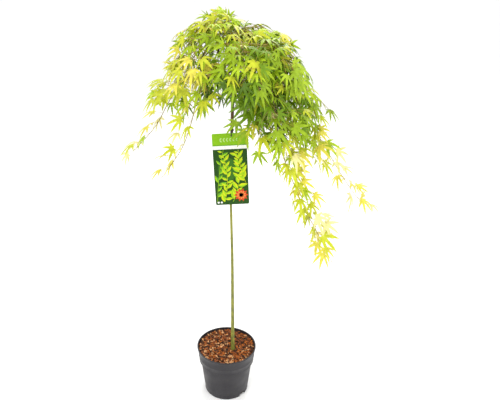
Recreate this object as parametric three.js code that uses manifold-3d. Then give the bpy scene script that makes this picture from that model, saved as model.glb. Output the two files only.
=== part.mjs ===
// A weeping maple grown as a small standard tree in a nursery pot, with its plant label.
// Millimetres, +Z up. The origin is the centre of the pot's flat underside, and the label faces -Y.

import * as THREE from "three";
import { mergeVertices } from "three/addons/utils/BufferGeometryUtils.js";
import Module from "manifold-3d";

const wasm = await Module();
wasm.setup();

const gap = 0.3;
const shortEdge = 0.12;
const up = new THREE.Vector3(0, 0, 1);

// Pot: a moulded nursery pot with a deep rim band and two drain notches in its foot
const pot = {
  height: 165,
  rimRadius: 95,
  lipHeight: 4,
  bandFoot: 119,
  bandRadius: 88,
  bodyTopRadius: 83.2,
  footRadius: 71,
  footHeight: 9,
  wall: 2.2,
  floor: 3,
  segments: 36,
};
const drain = { width: 26, height: 7, reach: 14, headings: [-43, 137] };
const drainHole = { radius: 6, reach: 42, count: 4, firstHeading: 15 };

// Filling: potting soil up to the ground level, and a layer of bark chips on it
const groundHeight = 146;
const mulch = { top: 157.5, bump: 4.5, rings: 6, seed: 11 };

// Trunk: its route from the ground to the fork, and its radius on the way
const trunkStations = [
  { x: 20.3, y: -11, z: groundHeight + gap, radius: 6.4 },
  { x: 20.2, y: -11, z: 160, radius: 5.9 },
  { x: 19.2, y: -7, z: 300, radius: 5 },
  { x: 17.6, y: -2, z: 470, radius: 4.2 },
  { x: 14.2, y: 0, z: 610, radius: 3.7 },
  { x: 11.8, y: 0.5, z: 700, radius: 3.6 },
  { x: 12.6, y: 0.5, z: 810, radius: 3.9 },
  { x: 15.5, y: 0, z: 922, radius: 4.3 },
  { x: 17.4, y: 1, z: 1033, radius: 4.7 },
  { x: 22, y: 1, z: 1080, radius: 6.2 },
  { x: 26.4, y: 0, z: 1104, radius: 8.2 },
  { x: 29.6, y: 0, z: 1121, radius: 6.4 },
];
const trunk = { sides: 10, rings: 26, flare: 4.2, flareHeight: 9, buttresses: 3 };
const fork = new THREE.Vector3(29.6, 0, 1121);

// Boughs: tapering limbs that arch out of the graft at the head of the trunk
const bough = {
  sides: 7,
  steps: 7,
  lowSteps: 6,
  topSteps: 4,
  baseRadius: 3.1,
  tipRadius: 2.2,
  lowTipRadius: 1.8,
  lift: 24,
  topLift: -8,
  topReach: 4,
};

// Twigs and leaves
const twig = {
  stemRadius: 2.4,
  tipRadius: 1.7,
  shootRadius: 2,
  sides: 3,
  step: 46,
  firstNode: 13,
  nodes: 15,
  tailNodes: 34,
  shootEvery: 2,
  shortShoot: 30,
  longShoot: 62,
  tries: 6,
  fullRun: 190,
  rise: -0.3,
};
const leaf = {
  lobe: 50,
  tailLobe: 36,
  stalk: [12, 34],
  sunk: 0.1,
  neck: 0.2,
  thickness: 3.2,
  droop: 0.16,
  apart: 23,
  tries: 90,
};
const leafLobes = [
  { angle: -100, length: 0.6 },
  { angle: -48, length: 0.9 },
  { angle: 0, length: 1 },
  { angle: 48, length: 0.9 },
  { angle: 100, length: 0.6 },
];
const leafSinus = 0.37;
const leafBase = { angle: 150, length: 0.17 };

// The crown's space is shared out: the top mass stays above a level and within a reach of the fork's
// axis, and the low masses stay below a slope that falls away from the fork
const topSpace = { level: 1134, reach: 98, ceiling: 1220 };
const lowSlope = { height: 1136, rise: -0.55 };
const spaceMargin = 0.2;
const light = new THREE.Vector3(0, -0.45, 0.8);

// Each side of the crown is a wedge of headings, in degrees from +X towards +Y, seen from the fork.
// A station is a heading, a reach from the fork's axis and a height.
const crownSides = [
  {
    name: "right",
    wedge: [-6, 36],
    start: { heading: 15, height: 1112 },
    bough: [15, 46, 1130],
    upper: {
      seed: 21,
      spread: 78,
      stations: [[15, 90, 1142], [15, 136, 1124], [15, 174, 1080], [16, 198, 1038]],
    },
    lowBough: [12, 94, 1072],
    lower: {
      seed: 222,
      spread: 80,
      stations: [
        [11, 128, 1034],
        [9, 160, 985],
        [7, 200, 911],
        [7, 255, 823],
        [7, 308, 740],
        [7, 367, 662],
        [7, 392, 646],
      ],
    },
  },
  {
    name: "front_right",
    wedge: [-52, -6],
    start: { heading: -30, height: 1098 },
    bough: [-29, 42, 1128],
    upper: {
      seed: 23,
      spread: 78,
      stations: [[-29, 86, 1142], [-29, 128, 1118], [-29, 164, 1066]],
    },
    lowBough: [-30, 76, 1072],
    lower: {
      seed: 424,
      spread: 92,
      stations: [
        [-30, 98, 1016],
        [-29, 114, 940],
        [-26, 126, 860],
        [-23, 152, 789],
        [-21, 194, 695],
        [-20, 240, 613],
        [-19, 278, 546],
      ],
    },
  },
  {
    name: "front",
    wedge: [-118, -52],
    start: { heading: -85, height: 1110 },
    bough: [-85, 36, 1130],
    upper: {
      seed: 625,
      spread: 88,
      stations: [[-85, 80, 1138], [-85, 122, 1104], [-85, 152, 1048], [-85, 168, 1008]],
    },
  },
  {
    name: "front_left",
    wedge: [-172, -118],
    start: { heading: -148, height: 1098 },
    bough: [-145, 44, 1130],
    upper: {
      seed: 626,
      spread: 80,
      stations: [[-145, 90, 1146], [-145, 132, 1120], [-145, 166, 1066]],
    },
    lowBough: [-147, 76, 1076],
    lower: {
      seed: 327,
      spread: 76,
      fullRun: 130,
      stations: [
        [-147, 102, 1032],
        [-148, 128, 975],
        [-147, 146, 925],
        [-148, 170, 869],
        [-149, 205, 823],
        [-150, 230, 798],
      ],
    },
  },
  {
    name: "left",
    wedge: [142, 188],
    start: { heading: 165, height: 1112 },
    bough: [170, 56, 1135],
    upper: {
      seed: 328,
      spread: 78,
      stations: [[167, 96, 1150], [166, 132, 1128], [165, 162, 1078], [165, 176, 1040]],
    },
    lowBough: [172, 98, 1074],
    lower: {
      seed: 429,
      spread: 72,
      fullRun: 120,
      stations: [
        [172, 130, 1042],
        [172, 160, 1002],
        [173, 190, 958],
        [173, 225, 896],
        [173, 272, 841],
        [173, 304, 808],
      ],
    },
  },
  {
    name: "back_left",
    wedge: [90, 142],
    start: { heading: 116, height: 1100 },
    bough: [116, 42, 1131],
    upper: {
      seed: 230,
      spread: 82,
      stations: [[116, 90, 1148], [116, 134, 1120], [116, 172, 1060]],
    },
    lowBough: [116, 78, 1070],
    lower: {
      seed: 531,
      spread: 74,
      stations: [[116, 106, 1030], [116, 140, 970], [116, 170, 905]],
    },
  },
  {
    name: "back_right",
    wedge: [36, 90],
    start: { heading: 63, height: 1104 },
    bough: [63, 42, 1130],
    upper: { seed: 132, spread: 80, stations: [[63, 90, 1144], [63, 134, 1118], [63, 172, 1060]] },
    lowBough: [62, 78, 1070],
    lower: { seed: 433, spread: 78, stations: [[62, 106, 1028], [62, 142, 965], [62, 174, 892]] },
  },
];
const crownTops = [
  {
    name: "top_left",
    heading: 180,
    bough: [180, 14, 1148],
    mass: {
      seed: 341,
      spread: 96,
      rise: 0.05,
      lobe: 42,
      stations: [[180, 36, 1166], [178, 64, 1172], [178, 86, 1166]],
    },
  },
  {
    name: "top_right",
    heading: 0,
    bough: [0, 12, 1146],
    mass: {
      seed: 242,
      spread: 90,
      rise: 0.05,
      lobe: 42,
      stations: [[2, 34, 1160], [2, 62, 1163], [2, 84, 1155]],
    },
  },
];

// Label: a card hung on the trunk by a tie through its hole
const label = {
  width: 96,
  height: 214,
  corner: 4,
  thickness: 0.8,
  turn: 3,
  x: 12.3,
  z: 774,
  hole: 2.6,
  holeDrop: 8,
  holeAside: 6,
};
const tie = { band: 1.6, height: 4, z: 888, strap: 1.4 };

// Surface finishes
const finish = {
  pot: { color: "#45444a", roughness: 0.55 },
  soil: { color: "#3a2a20", roughness: 1 },
  mulch: { color: "#9c5a34", roughness: 0.95 },
  bark: { color: "#6f7328", roughness: 0.7 },
  bough: { color: "#46281c", roughness: 0.8 },
  foliage: { color: "#8fbb22", roughness: 0.6 },
  label: { color: "#8fc31f", roughness: 0.4 },
  tie: { color: "#161616", roughness: 0.5 },
};

// A repeatable row of numbers from 0 to 1
function seededNumbers(seed) {
  let state = seed;
  return () => {
    state = (state * 1664525 + 1013904223) % 4294967296;
    return state / 4294967296;
  };
}

// A closed solid from any geometry
function solidOf(geometry) {
  const bare = new THREE.BufferGeometry();
  const loose = geometry.index ? geometry.toNonIndexed() : geometry;
  bare.setAttribute("position", loose.getAttribute("position"));
  const merged = mergeVertices(bare, 1e-4);
  const corners = merged.index.array;
  const kept = [];
  for (let i = 0; i < corners.length; i += 3) {
    const [a, b, c] = [corners[i], corners[i + 1], corners[i + 2]];
    if (a !== b && b !== c && c !== a) kept.push(a, b, c);
  }
  const vertProperties = merged.getAttribute("position").array;
  const triVerts = new Uint32Array(kept);
  return new wasm.Manifold(new wasm.Mesh({ numProp: 3, vertProperties, triVerts }));
}

// The named mesh of a finished solid, with edges too short to matter closed up
function meshOf(name, solid, look) {
  const { vertProperties, triVerts } = solid.asOriginal().simplify(shortEdge).getMesh();
  const geometry = new THREE.BufferGeometry();
  geometry.setAttribute("position", new THREE.BufferAttribute(vertProperties, 3));
  geometry.setIndex(new THREE.BufferAttribute(triVerts, 1));
  geometry.computeVertexNormals();
  const material = new THREE.MeshStandardMaterial({ ...look, metalness: 0 });
  const mesh = new THREE.Mesh(geometry, material);
  mesh.name = name;
  return mesh;
}

// The largest body of a solid, without loose scraps and sealed hollows
function largestBody(solid) {
  let best = null;
  for (const body of solid.decompose()) {
    if (!best || body.volume() > best.volume()) best = body;
  }
  return best;
}

function radians(degrees) {
  return THREE.MathUtils.degToRad(degrees);
}

// A point at a heading, a reach from the fork's axis and a height
function stationPoint([heading, reach, height]) {
  const turn = radians(heading);
  return new THREE.Vector3(fork.x + reach * Math.cos(turn), fork.y + reach * Math.sin(turn), height);
}

function outward(heading) {
  return new THREE.Vector3(Math.cos(radians(heading)), Math.sin(radians(heading)), 0);
}

// A closed ring-by-ring skin with flat ends
function ringSkin(rings) {
  const sides = rings[0].length;
  const positions = rings.flat().flatMap((p) => [p.x, p.y, p.z]);
  const corners = [];
  for (let i = 0; i + 1 < rings.length; i++) {
    for (let j = 0; j < sides; j++) {
      const a = i * sides + j;
      const b = i * sides + ((j + 1) % sides);
      corners.push(a, b, b + sides, a, b + sides, a + sides);
    }
  }
  const last = (rings.length - 1) * sides;
  for (let j = 1; j + 1 < sides; j++) {
    corners.push(0, j + 1, j);
    corners.push(last, last + j, last + j + 1);
  }
  const geometry = new THREE.BufferGeometry();
  geometry.setAttribute("position", new THREE.Float32BufferAttribute(positions, 3));
  geometry.setIndex(corners);
  return geometry;
}

// Frames along a route that turn no more than the route does
function routeFrames(route, steps) {
  const frames = [];
  let side = new THREE.Vector3(1, 0, 0);
  for (let i = 0; i <= steps; i++) {
    const along = route.getTangentAt(i / steps);
    if (i === 0 && Math.abs(along.x) > 0.8) side = new THREE.Vector3(0, 1, 0);
    side = side.clone().addScaledVector(along, -side.dot(along)).normalize();
    const across = along.clone().cross(side);
    frames.push({ t: i / steps, point: route.getPointAt(i / steps), along, side, across });
  }
  return frames;
}

// A tapering limb along a route, grown on all sides by the given clearance
function limbGeometry(route, startRadius, endRadius, sides, steps, clearance = 0) {
  const frames = routeFrames(route, steps);
  const rings = frames.map((frame, i) => {
    const radius = startRadius + (endRadius - startRadius) * frame.t + clearance;
    const centre = frame.point.clone();
    if (i === 0) centre.addScaledVector(frame.along, -clearance);
    if (i === steps) centre.addScaledVector(frame.along, clearance);
    return Array.from({ length: sides }, (_, j) => {
      const turn = (2 * Math.PI * j) / sides;
      const point = centre.clone().addScaledVector(frame.side, radius * Math.cos(turn));
      return point.addScaledVector(frame.across, radius * Math.sin(turn));
    });
  });
  return ringSkin(rings);
}

function limbSolid(route, startRadius, endRadius, sides, steps, clearance = 0) {
  return solidOf(limbGeometry(route, startRadius, endRadius, sides, steps, clearance));
}

function turned(profile) {
  const points = profile.map(([radius, height]) => new THREE.Vector2(radius, height));
  const geometry = new THREE.LatheGeometry(points, pot.segments);
  geometry.rotateX(Math.PI / 2);
  return solidOf(geometry);
}

// Inner face of the pot at a height, in its body and in its rim band
function innerRadius(height) {
  const bodyTop = pot.bandFoot - pot.wall;
  if (height <= bodyTop) {
    const share = (height - pot.floor) / (bodyTop - pot.floor);
    return pot.footRadius - pot.wall + (pot.bodyTopRadius - pot.footRadius) * Math.max(share, 0);
  }
  const share = (height - pot.bandFoot) / (pot.height - pot.bandFoot);
  return pot.bandRadius - pot.wall + (pot.rimRadius - 1 - pot.bandRadius) * Math.max(share, 0);
}

// A drain notch: an arch through the foot's edge
function drainNotch(heading) {
  const arch = new THREE.Shape();
  arch.moveTo(-drain.width / 2, -2);
  arch.lineTo(drain.width / 2, -2);
  arch.quadraticCurveTo(drain.width / 2, drain.height, 0, drain.height);
  arch.quadraticCurveTo(-drain.width / 2, drain.height, -drain.width / 2, -2);
  const options = { depth: drain.reach * 2, bevelEnabled: false, curveSegments: 5 };
  const geometry = new THREE.ExtrudeGeometry(arch, options);
  geometry.rotateX(Math.PI / 2);
  geometry.rotateZ(Math.PI / 2);
  geometry.translate(pot.footRadius - drain.reach, 0, 0);
  geometry.rotateZ(radians(heading));
  return solidOf(geometry);
}

function roundHole(radius, heading, reach) {
  const geometry = new THREE.CylinderGeometry(radius, radius, 4 * pot.floor, 16);
  geometry.rotateX(Math.PI / 2);
  const place = outward(heading).multiplyScalar(reach);
  geometry.translate(place.x, place.y, 0);
  return solidOf(geometry);
}

function potSolid() {
  const lip = pot.height - pot.lipHeight;
  const bodyTop = pot.bandFoot - pot.wall;
  let shell = turned([
    [0, 0],
    [pot.footRadius - 1.5, 0],
    [pot.footRadius - 0.2, 1.5],
    [pot.footRadius, pot.footHeight],
    [pot.footRadius + 1.2, pot.footHeight + 1.5],
    [pot.bodyTopRadius, pot.bandFoot],
    [pot.bandRadius - 1.2, pot.bandFoot],
    [pot.bandRadius, pot.bandFoot + 1.5],
    [pot.rimRadius - 1.4, lip - 2],
    [pot.rimRadius, lip],
    [pot.rimRadius, pot.height - 1],
    [pot.rimRadius - 1, pot.height],
    [innerRadius(pot.height), pot.height],
    [innerRadius(pot.bandFoot + 2), pot.bandFoot + 2],
    [innerRadius(bodyTop), bodyTop],
    [innerRadius(pot.floor), pot.floor],
    [0, pot.floor],
  ]);
  for (const heading of drain.headings) shell = shell.subtract(drainNotch(heading));
  for (let i = 0; i < drainHole.count; i++) {
    const heading = drainHole.firstHeading + (360 * i) / drainHole.count;
    shell = shell.subtract(roundHole(drainHole.radius, heading, drainHole.reach));
  }
  return shell;
}

function soilSolid() {
  const clear = gap + 0.1;
  const bodyTop = pot.bandFoot - pot.wall;
  return turned([
    [0, pot.floor + gap],
    [innerRadius(pot.floor) - 2 * clear, pot.floor + gap],
    [innerRadius(bodyTop) - clear, bodyTop + gap],
    [innerRadius(pot.bandFoot + 2) - clear, pot.bandFoot + 2 + gap],
    [innerRadius(groundHeight) - clear, groundHeight],
    [0, groundHeight],
  ]);
}

// Bark chips: a layer with an uneven top, open round the trunk
function mulchSolid(trunkClear) {
  const random = seededNumbers(mulch.seed);
  const foot = groundHeight + gap;
  const edge = innerRadius(foot) - gap - 0.2;
  const ringAt = (radius, height) =>
    Array.from({ length: pot.segments }, (_, j) => {
      const turn = (2 * Math.PI * j) / pot.segments;
      return new THREE.Vector3(radius * Math.sin(turn), -radius * Math.cos(turn), height());
    });
  const bumpy = () => mulch.top + mulch.bump * (random() - 0.5);
  const rings = [ringAt(edge, () => foot), ringAt(edge + 1, () => mulch.top - 2 + 2 * random())];
  for (let i = 1; i < mulch.rings; i++) {
    const share = 1 - i / mulch.rings;
    rings.push(ringAt(edge * share, bumpy));
  }
  return solidOf(ringSkin(rings)).subtract(trunkClear);
}

// Trunk centre and radius at a share of its route
const trunkRoute = new THREE.CatmullRomCurve3(trunkStations.map((s) => new THREE.Vector3(s.x, s.y, s.z)));
const trunkRadii = new THREE.SplineCurve(trunkStations.map((s) => new THREE.Vector2(s.radius, s.z)));

function trunkRing(share, clearance) {
  const centre = trunkRoute.getPoint(share);
  const above = centre.z - trunkStations[0].z;
  const flare = trunk.flare * Math.exp(-above / trunk.flareHeight);
  const radius = trunkRadii.getPoint(share).x;
  return Array.from({ length: trunk.sides }, (_, j) => {
    const turn = (2 * Math.PI * j) / trunk.sides;
    const buttress = 1 + 0.35 * Math.cos(trunk.buttresses * turn);
    const reach = radius + flare * buttress + clearance;
    return new THREE.Vector3(centre.x + reach * Math.cos(turn), centre.y + reach * Math.sin(turn), centre.z);
  });
}

// Rings lie closer together at the root flare than higher up
function trunkSolid(clearance = 0) {
  const rings = [];
  for (let i = 0; i <= trunk.rings; i++) {
    const share = i / trunk.rings;
    const eased = share < 0.12 ? share * share * 8.333 * 0.5 + share * 0.5 : share;
    rings.push(trunkRing(eased, clearance));
  }
  for (const point of rings[0]) point.z -= clearance;
  for (const point of rings[trunk.rings]) point.z += clearance;
  return solidOf(ringSkin(rings));
}

// The trunk's own centre at a height
function trunkCentre(height) {
  let low = 0;
  let high = 1;
  for (let i = 0; i < 24; i++) {
    const middle = (low + high) / 2;
    if (trunkRoute.getPoint(middle).z < height) low = middle;
    else high = middle;
  }
  return trunkRoute.getPoint(low);
}

// An arching route: up and out from its start, over, and down towards its end
function archRoute(start, end, lift) {
  const knee = start.clone().lerp(end, 0.5);
  knee.z = Math.max(start.z, end.z) + lift;
  return new THREE.QuadraticBezierCurve3(start, knee, end);
}

// A route that leaves the end of another in its own direction and bends down to its end
function onwardRoute(parent, end) {
  const start = parent.getPoint(1);
  const along = parent.getTangent(1);
  const knee = start.clone().addScaledVector(along, start.distanceTo(end) * 0.45);
  return new THREE.QuadraticBezierCurve3(start.clone().addScaledVector(along, gap), knee, end);
}

// A mass's stem: out of the bough's tip, then through its stations
function stemRoute(parent, stations, lean) {
  const along = parent.getTangent(1).addScaledVector(up, lean).normalize();
  const start = parent.getPoint(1).addScaledVector(along, lean ? -2 : -1);
  const second = start.clone().addScaledVector(along, 14);
  return new THREE.CatmullRomCurve3([start, second, ...stations.map(stationPoint)], false, "centripetal");
}

// A flat boundary: a point is inside when it lies ahead of the plane
function plane(point, normal) {
  return { point, normal: normal.clone().normalize() };
}

function slopePlane(slope, heading, above) {
  const point = new THREE.Vector3(fork.x, fork.y, slope.height);
  const normal = up.clone().addScaledVector(outward(heading), -slope.rise);
  return plane(point, above ? normal : normal.negate());
}

function wedgePlanes([from, to]) {
  const axis = new THREE.Vector3(fork.x, fork.y, 0);
  return [plane(axis, outward(from + 90)), plane(axis, outward(to - 90))];
}

function middle(wedge) {
  return (wedge[0] + wedge[1]) / 2;
}

function reachPlane(heading, outside) {
  const normal = outward(heading);
  const point = new THREE.Vector3(fork.x, fork.y, 0).addScaledVector(normal, topSpace.reach);
  return plane(point, outside ? normal : normal.negate());
}

function levelPlane(above) {
  return plane(new THREE.Vector3(0, 0, topSpace.level), above ? up : up.clone().negate());
}

// The spaces of a side's upper and lower mass and of a top mass: a leaf keeps to all the walls of one
function upperSpaces(side) {
  const walls = wedgePlanes(side.wedge);
  if (side.lower) walls.push(slopePlane(lowSlope, middle(side.wedge), true));
  return [[...walls, reachPlane(middle(side.wedge), true)], [...walls, levelPlane(false)]];
}

function lowerSpaces(side) {
  return [[...wedgePlanes(side.wedge), slopePlane(lowSlope, middle(side.wedge), false)]];
}

function topSpaces(top) {
  const ceiling = plane(new THREE.Vector3(0, 0, topSpace.ceiling), up.clone().negate());
  const axis = new THREE.Vector3(fork.x, fork.y, 0);
  const walls = [levelPlane(true), ceiling, plane(axis, outward(top.heading))];
  return [[...walls, ...crownSides.map((side) => reachPlane(middle(side.wedge), false))]];
}

function staysInside(geometry, spaces) {
  const places = geometry.getAttribute("position");
  const pointAt = (_, i) => new THREE.Vector3().fromBufferAttribute(places, i);
  const points = Array.from({ length: places.count }, pointAt);
  const ahead = (wall, point) => wall.normal.dot(point.clone().sub(wall.point)) >= spaceMargin;
  return spaces.some((walls) => walls.every((wall) => points.every((point) => ahead(wall, point))));
}

// One leaf: a drooping star of lobes on its stalk, whose foot is sunk in the twig
function leafGeometry(root, heading, face, lobe, reach) {
  const side = face.clone().cross(heading);
  const at = (ahead, aside, lift) =>
    root
      .clone()
      .addScaledVector(heading, reach + leaf.sunk + ahead)
      .addScaledVector(side, aside)
      .addScaledVector(face, lift);
  const rim = (angle, length) => {
    const turn = radians(angle);
    const sag = -leaf.droop * length * length * lobe;
    return at(Math.cos(turn) * length * lobe, Math.sin(turn) * length * lobe, sag);
  };
  const outline = [rim(-leafBase.angle, leafBase.length)];
  leafLobes.forEach((tip, i) => {
    if (i > 0) outline.push(rim((tip.angle + leafLobes[i - 1].angle) / 2, leafSinus));
    outline.push(rim(tip.angle, tip.length));
  });
  outline.push(rim(leafBase.angle, leafBase.length));
  const count = outline.length;
  const crest = at(0, 0, leaf.thickness / 2);
  const keel = at(0, 0, -leaf.thickness / 2);
  const apex = at(-reach / (1 - leaf.neck), 0, 0);
  const stalk = [crest, outline[0], keel, outline[count - 1]].map((p) => apex.clone().lerp(p, leaf.neck));
  const points = [...outline, crest, keel, ...stalk];
  const [top, bottom] = [count, count + 1];
  const blade = [top, 0, bottom, count - 1];
  const corners = [];
  for (let i = 0; i + 1 < count; i++) corners.push(top, i, i + 1, bottom, i + 1, i);
  for (let i = 0; i < 4; i++) {
    const [a, b] = [blade[i], blade[(i + 1) % 4]];
    const [c, d] = [count + 2 + i, count + 2 + ((i + 1) % 4)];
    corners.push(a, c, d, a, d, b);
  }
  corners.push(count + 2, count + 5, count + 4, count + 2, count + 4, count + 3);
  const geometry = new THREE.BufferGeometry();
  const numbers = points.flatMap((p) => [p.x, p.y, p.z]);
  geometry.setAttribute("position", new THREE.Float32BufferAttribute(numbers, 3));
  geometry.setIndex(corners);
  return geometry;
}

// A twig: a thin limb whose straight pieces are known, so that what grows on it is rooted in its middle
class Twig {
  constructor(route, startRadius, endRadius, steps) {
    this.route = route;
    this.steps = steps;
    this.solid = limbSolid(route, startRadius, endRadius, twig.sides, steps);
    this.geometry = limbGeometry(route, startRadius, endRadius, twig.sides, steps);
  }

  rootAt(share) {
    const run = Math.min(share * this.steps, this.steps - 0.001);
    const from = this.route.getPointAt(Math.floor(run) / this.steps);
    return from.lerp(this.route.getPointAt((Math.floor(run) + 1) / this.steps), run % 1);
  }
}

// Grows one mass of foliage: a stem, opposite pairs of shoots on it, and leaves on both
class Mass {
  constructor(spec, route, spaces, heading, keepClear) {
    this.random = seededNumbers(spec.seed);
    this.spread = spec.spread;
    this.rise = spec.rise ?? twig.rise;
    this.fullRun = spec.fullRun ?? twig.fullRun;
    this.lobe = spec.lobe ?? leaf.lobe;
    this.route = route;
    this.spaces = spaces;
    this.outward = outward(heading);
    this.keepClear = keepClear;
    this.pieces = [];
    this.leafCentres = [];
  }

  scatter() {
    return new THREE.Vector3(this.random(), this.random(), this.random()).multiplyScalar(2).subScalar(1);
  }

  // True when a piece stays in its space, clear of the limbs and of everything but the twig it grows on
  fits(geometry, solid, host) {
    if (!staysInside(geometry, this.spaces)) return false;
    if (!this.keepClear.intersect(solid).isEmpty()) return false;
    return this.pieces.every((piece) => piece === host.solid || piece.intersect(solid).isEmpty());
  }

  // Tries a few attitudes and keeps the first leaf that fits
  addLeaf(host, share, aim, lobe) {
    const root = host.rootAt(share);
    for (let i = 0; i < leaf.tries; i++) {
      const heading = aim
        .clone()
        .addScaledVector(this.outward, 0.2)
        .addScaledVector(up, this.rise)
        .addScaledVector(this.scatter(), 0.3 + 0.02 * i)
        .normalize();
      const face = light.clone().addScaledVector(this.outward, 0.3).addScaledVector(this.scatter(), 0.9);
      face.addScaledVector(heading, -face.dot(heading)).normalize();
      const size = lobe * (0.86 + 0.24 * this.random());
      const reach = leaf.stalk[0] + (leaf.stalk[1] - leaf.stalk[0]) * this.random();
      const centre = root.clone().addScaledVector(heading, reach + size * 0.3);
      if (this.leafCentres.some((other) => other.distanceTo(centre) < leaf.apart)) continue;
      const geometry = leafGeometry(root, heading, face, size, reach);
      const solid = solidOf(geometry);
      if (!this.fits(geometry, solid, host)) continue;
      this.leafCentres.push(centre);
      this.pieces.push(solid);
      return true;
    }
    return false;
  }

  // A pair of leaves across a twig, at a share of its route
  addPair(host, share, aside, lobe) {
    const along = host.route.getTangentAt(share);
    for (const hand of [-1, 1]) {
      const away = aside.clone().multiplyScalar(hand).addScaledVector(along, 0.5).normalize();
      this.addLeaf(host, share, away, lobe);
    }
  }

  // A short side shoot that droops, with pairs of leaves on the way and one leaf at its end
  addShoot(host, share, aim, length, lobe) {
    const root = host.rootAt(share);
    for (let i = 0; i < twig.tries; i++) {
      const ahead = aim.clone().addScaledVector(this.scatter(), 0.12 * i).normalize();
      const end = root.clone().addScaledVector(ahead, length).addScaledVector(up, this.rise * length);
      const knee = root.clone().addScaledVector(ahead, length * 0.55);
      const route = new THREE.QuadraticBezierCurve3(root, knee, end);
      const shoot = new Twig(route, twig.shootRadius, twig.tipRadius, 2);
      if (!this.fits(shoot.geometry, shoot.solid, host)) continue;
      this.pieces.push(shoot.solid);
      const along = route.getTangent(1);
      const aside = along.clone().cross(up).normalize();
      this.addLeaf(shoot, 0.96, along, lobe);
      const pairs = length > twig.longShoot ? [0.75, 0.45] : [0.6];
      for (const at of pairs) this.addPair(shoot, at, aside, lobe);
      return true;
    }
    return false;
  }

  grow() {
    const length = this.route.getLength();
    const steps = Math.max(3, Math.round(length / twig.step));
    const stem = new Twig(this.route, twig.stemRadius, twig.tipRadius, steps);
    this.pieces.push(stem.solid);
    let level = 0;
    let run = twig.firstNode;
    while (run < length - twig.firstNode) {
      const share = run / length;
      const along = this.route.getTangentAt(share);
      const flat = along.clone().cross(up).normalize();
      const aside = level % 2 ? flat.clone().cross(along).normalize() : flat;
      const full = Math.max(0, 1 - run / this.fullRun);
      const lobe = leaf.tailLobe + (this.lobe - leaf.tailLobe) * Math.min(1, 1.6 * full + 0.1);
      for (const hand of full > 0 ? [-1, 1] : [level % 4 < 2 ? 1 : -1]) {
        const away = aside.clone().multiplyScalar(hand).addScaledVector(along, 0.55).normalize();
        const reach = this.spread * (0.3 + 0.7 * full) * (0.75 + 0.5 * this.random());
        const wanted = full > 0 && reach > twig.shortShoot && level % twig.shootEvery === 0;
        const grown = wanted && this.addShoot(stem, share, away, reach, lobe);
        if (!grown) this.addLeaf(stem, share, away, lobe);
      }
      level += 1;
      run += (full > 0 ? twig.nodes : twig.tailNodes) * (0.85 + 0.3 * this.random());
    }
    this.addLeaf(stem, 0.985, this.route.getTangentAt(1), leaf.tailLobe);
    const whole = wasm.Manifold.union(this.pieces);
    return largestBody(whole.subtract(this.keepClear));
  }
}

// The label's card, centred on its own middle and standing in the XZ plane
function cardSolid() {
  const [w, h, c] = [label.width / 2, label.height / 2, label.corner];
  const outline = new THREE.Shape();
  outline.moveTo(-w + c, -h);
  outline.lineTo(w - c, -h);
  outline.absarc(w - c, -h + c, c, -Math.PI / 2, 0);
  outline.absarc(w - c, h - c, c, 0, Math.PI / 2);
  outline.absarc(-w + c, h - c, c, Math.PI / 2, Math.PI);
  outline.absarc(-w + c, -h + c, c, Math.PI, 1.5 * Math.PI);
  const hole = new THREE.Path();
  hole.absarc(label.holeAside, h - label.holeDrop, label.hole, 0, 2 * Math.PI, true);
  outline.holes.push(hole);
  const options = { depth: label.thickness, bevelEnabled: false, curveSegments: 4 };
  const geometry = new THREE.ExtrudeGeometry(outline, options);
  geometry.rotateX(Math.PI / 2);
  geometry.rotateY(-radians(label.turn));
  return geometry;
}

// Front of the trunk behind the label, where the card and its tie lie
const labelFront = -(4.6 + gap);

function labelSolid() {
  return solidOf(cardSolid().translate(label.x, labelFront, label.z));
}

// The tie: a band round the trunk and a loop from it through the card's hole
function tieSolid(trunkClear) {
  const centre = trunkCentre(tie.z);
  const outer = trunkStations[7].radius + gap + tie.band;
  const band = new THREE.CylinderGeometry(outer, outer, tie.height, 14);
  band.rotateX(Math.PI / 2);
  band.translate(centre.x, centre.y, tie.z);
  const hole = new THREE.Vector3(label.holeAside, 0, label.height / 2 - label.holeDrop);
  hole.applyAxisAngle(new THREE.Vector3(0, 1, 0), -radians(label.turn));
  hole.add(new THREE.Vector3(label.x, 0, label.z));
  const back = labelFront + 0.3;
  const front = labelFront - label.thickness - 0.3 - tie.strap;
  const foot = hole.z - tie.strap / 2;
  const block = (width, y0, y1, z0, z1) => {
    const box = new THREE.BoxGeometry(width, y1 - y0, z1 - z0);
    box.translate(hole.x, (y0 + y1) / 2, (z0 + z1) / 2);
    return solidOf(box);
  };
  const strapTop = tie.z + tie.height / 2 - 0.5;
  const pieces = [
    solidOf(band),
    block(2, front, centre.y, strapTop - tie.strap, strapTop),
    block(2, front, front + tie.strap, foot, strapTop - 0.1),
    block(2, front, back + 0.6, foot, foot + tie.strap),
  ];
  return wasm.Manifold.union(pieces).subtract(trunkClear);
}

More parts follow.
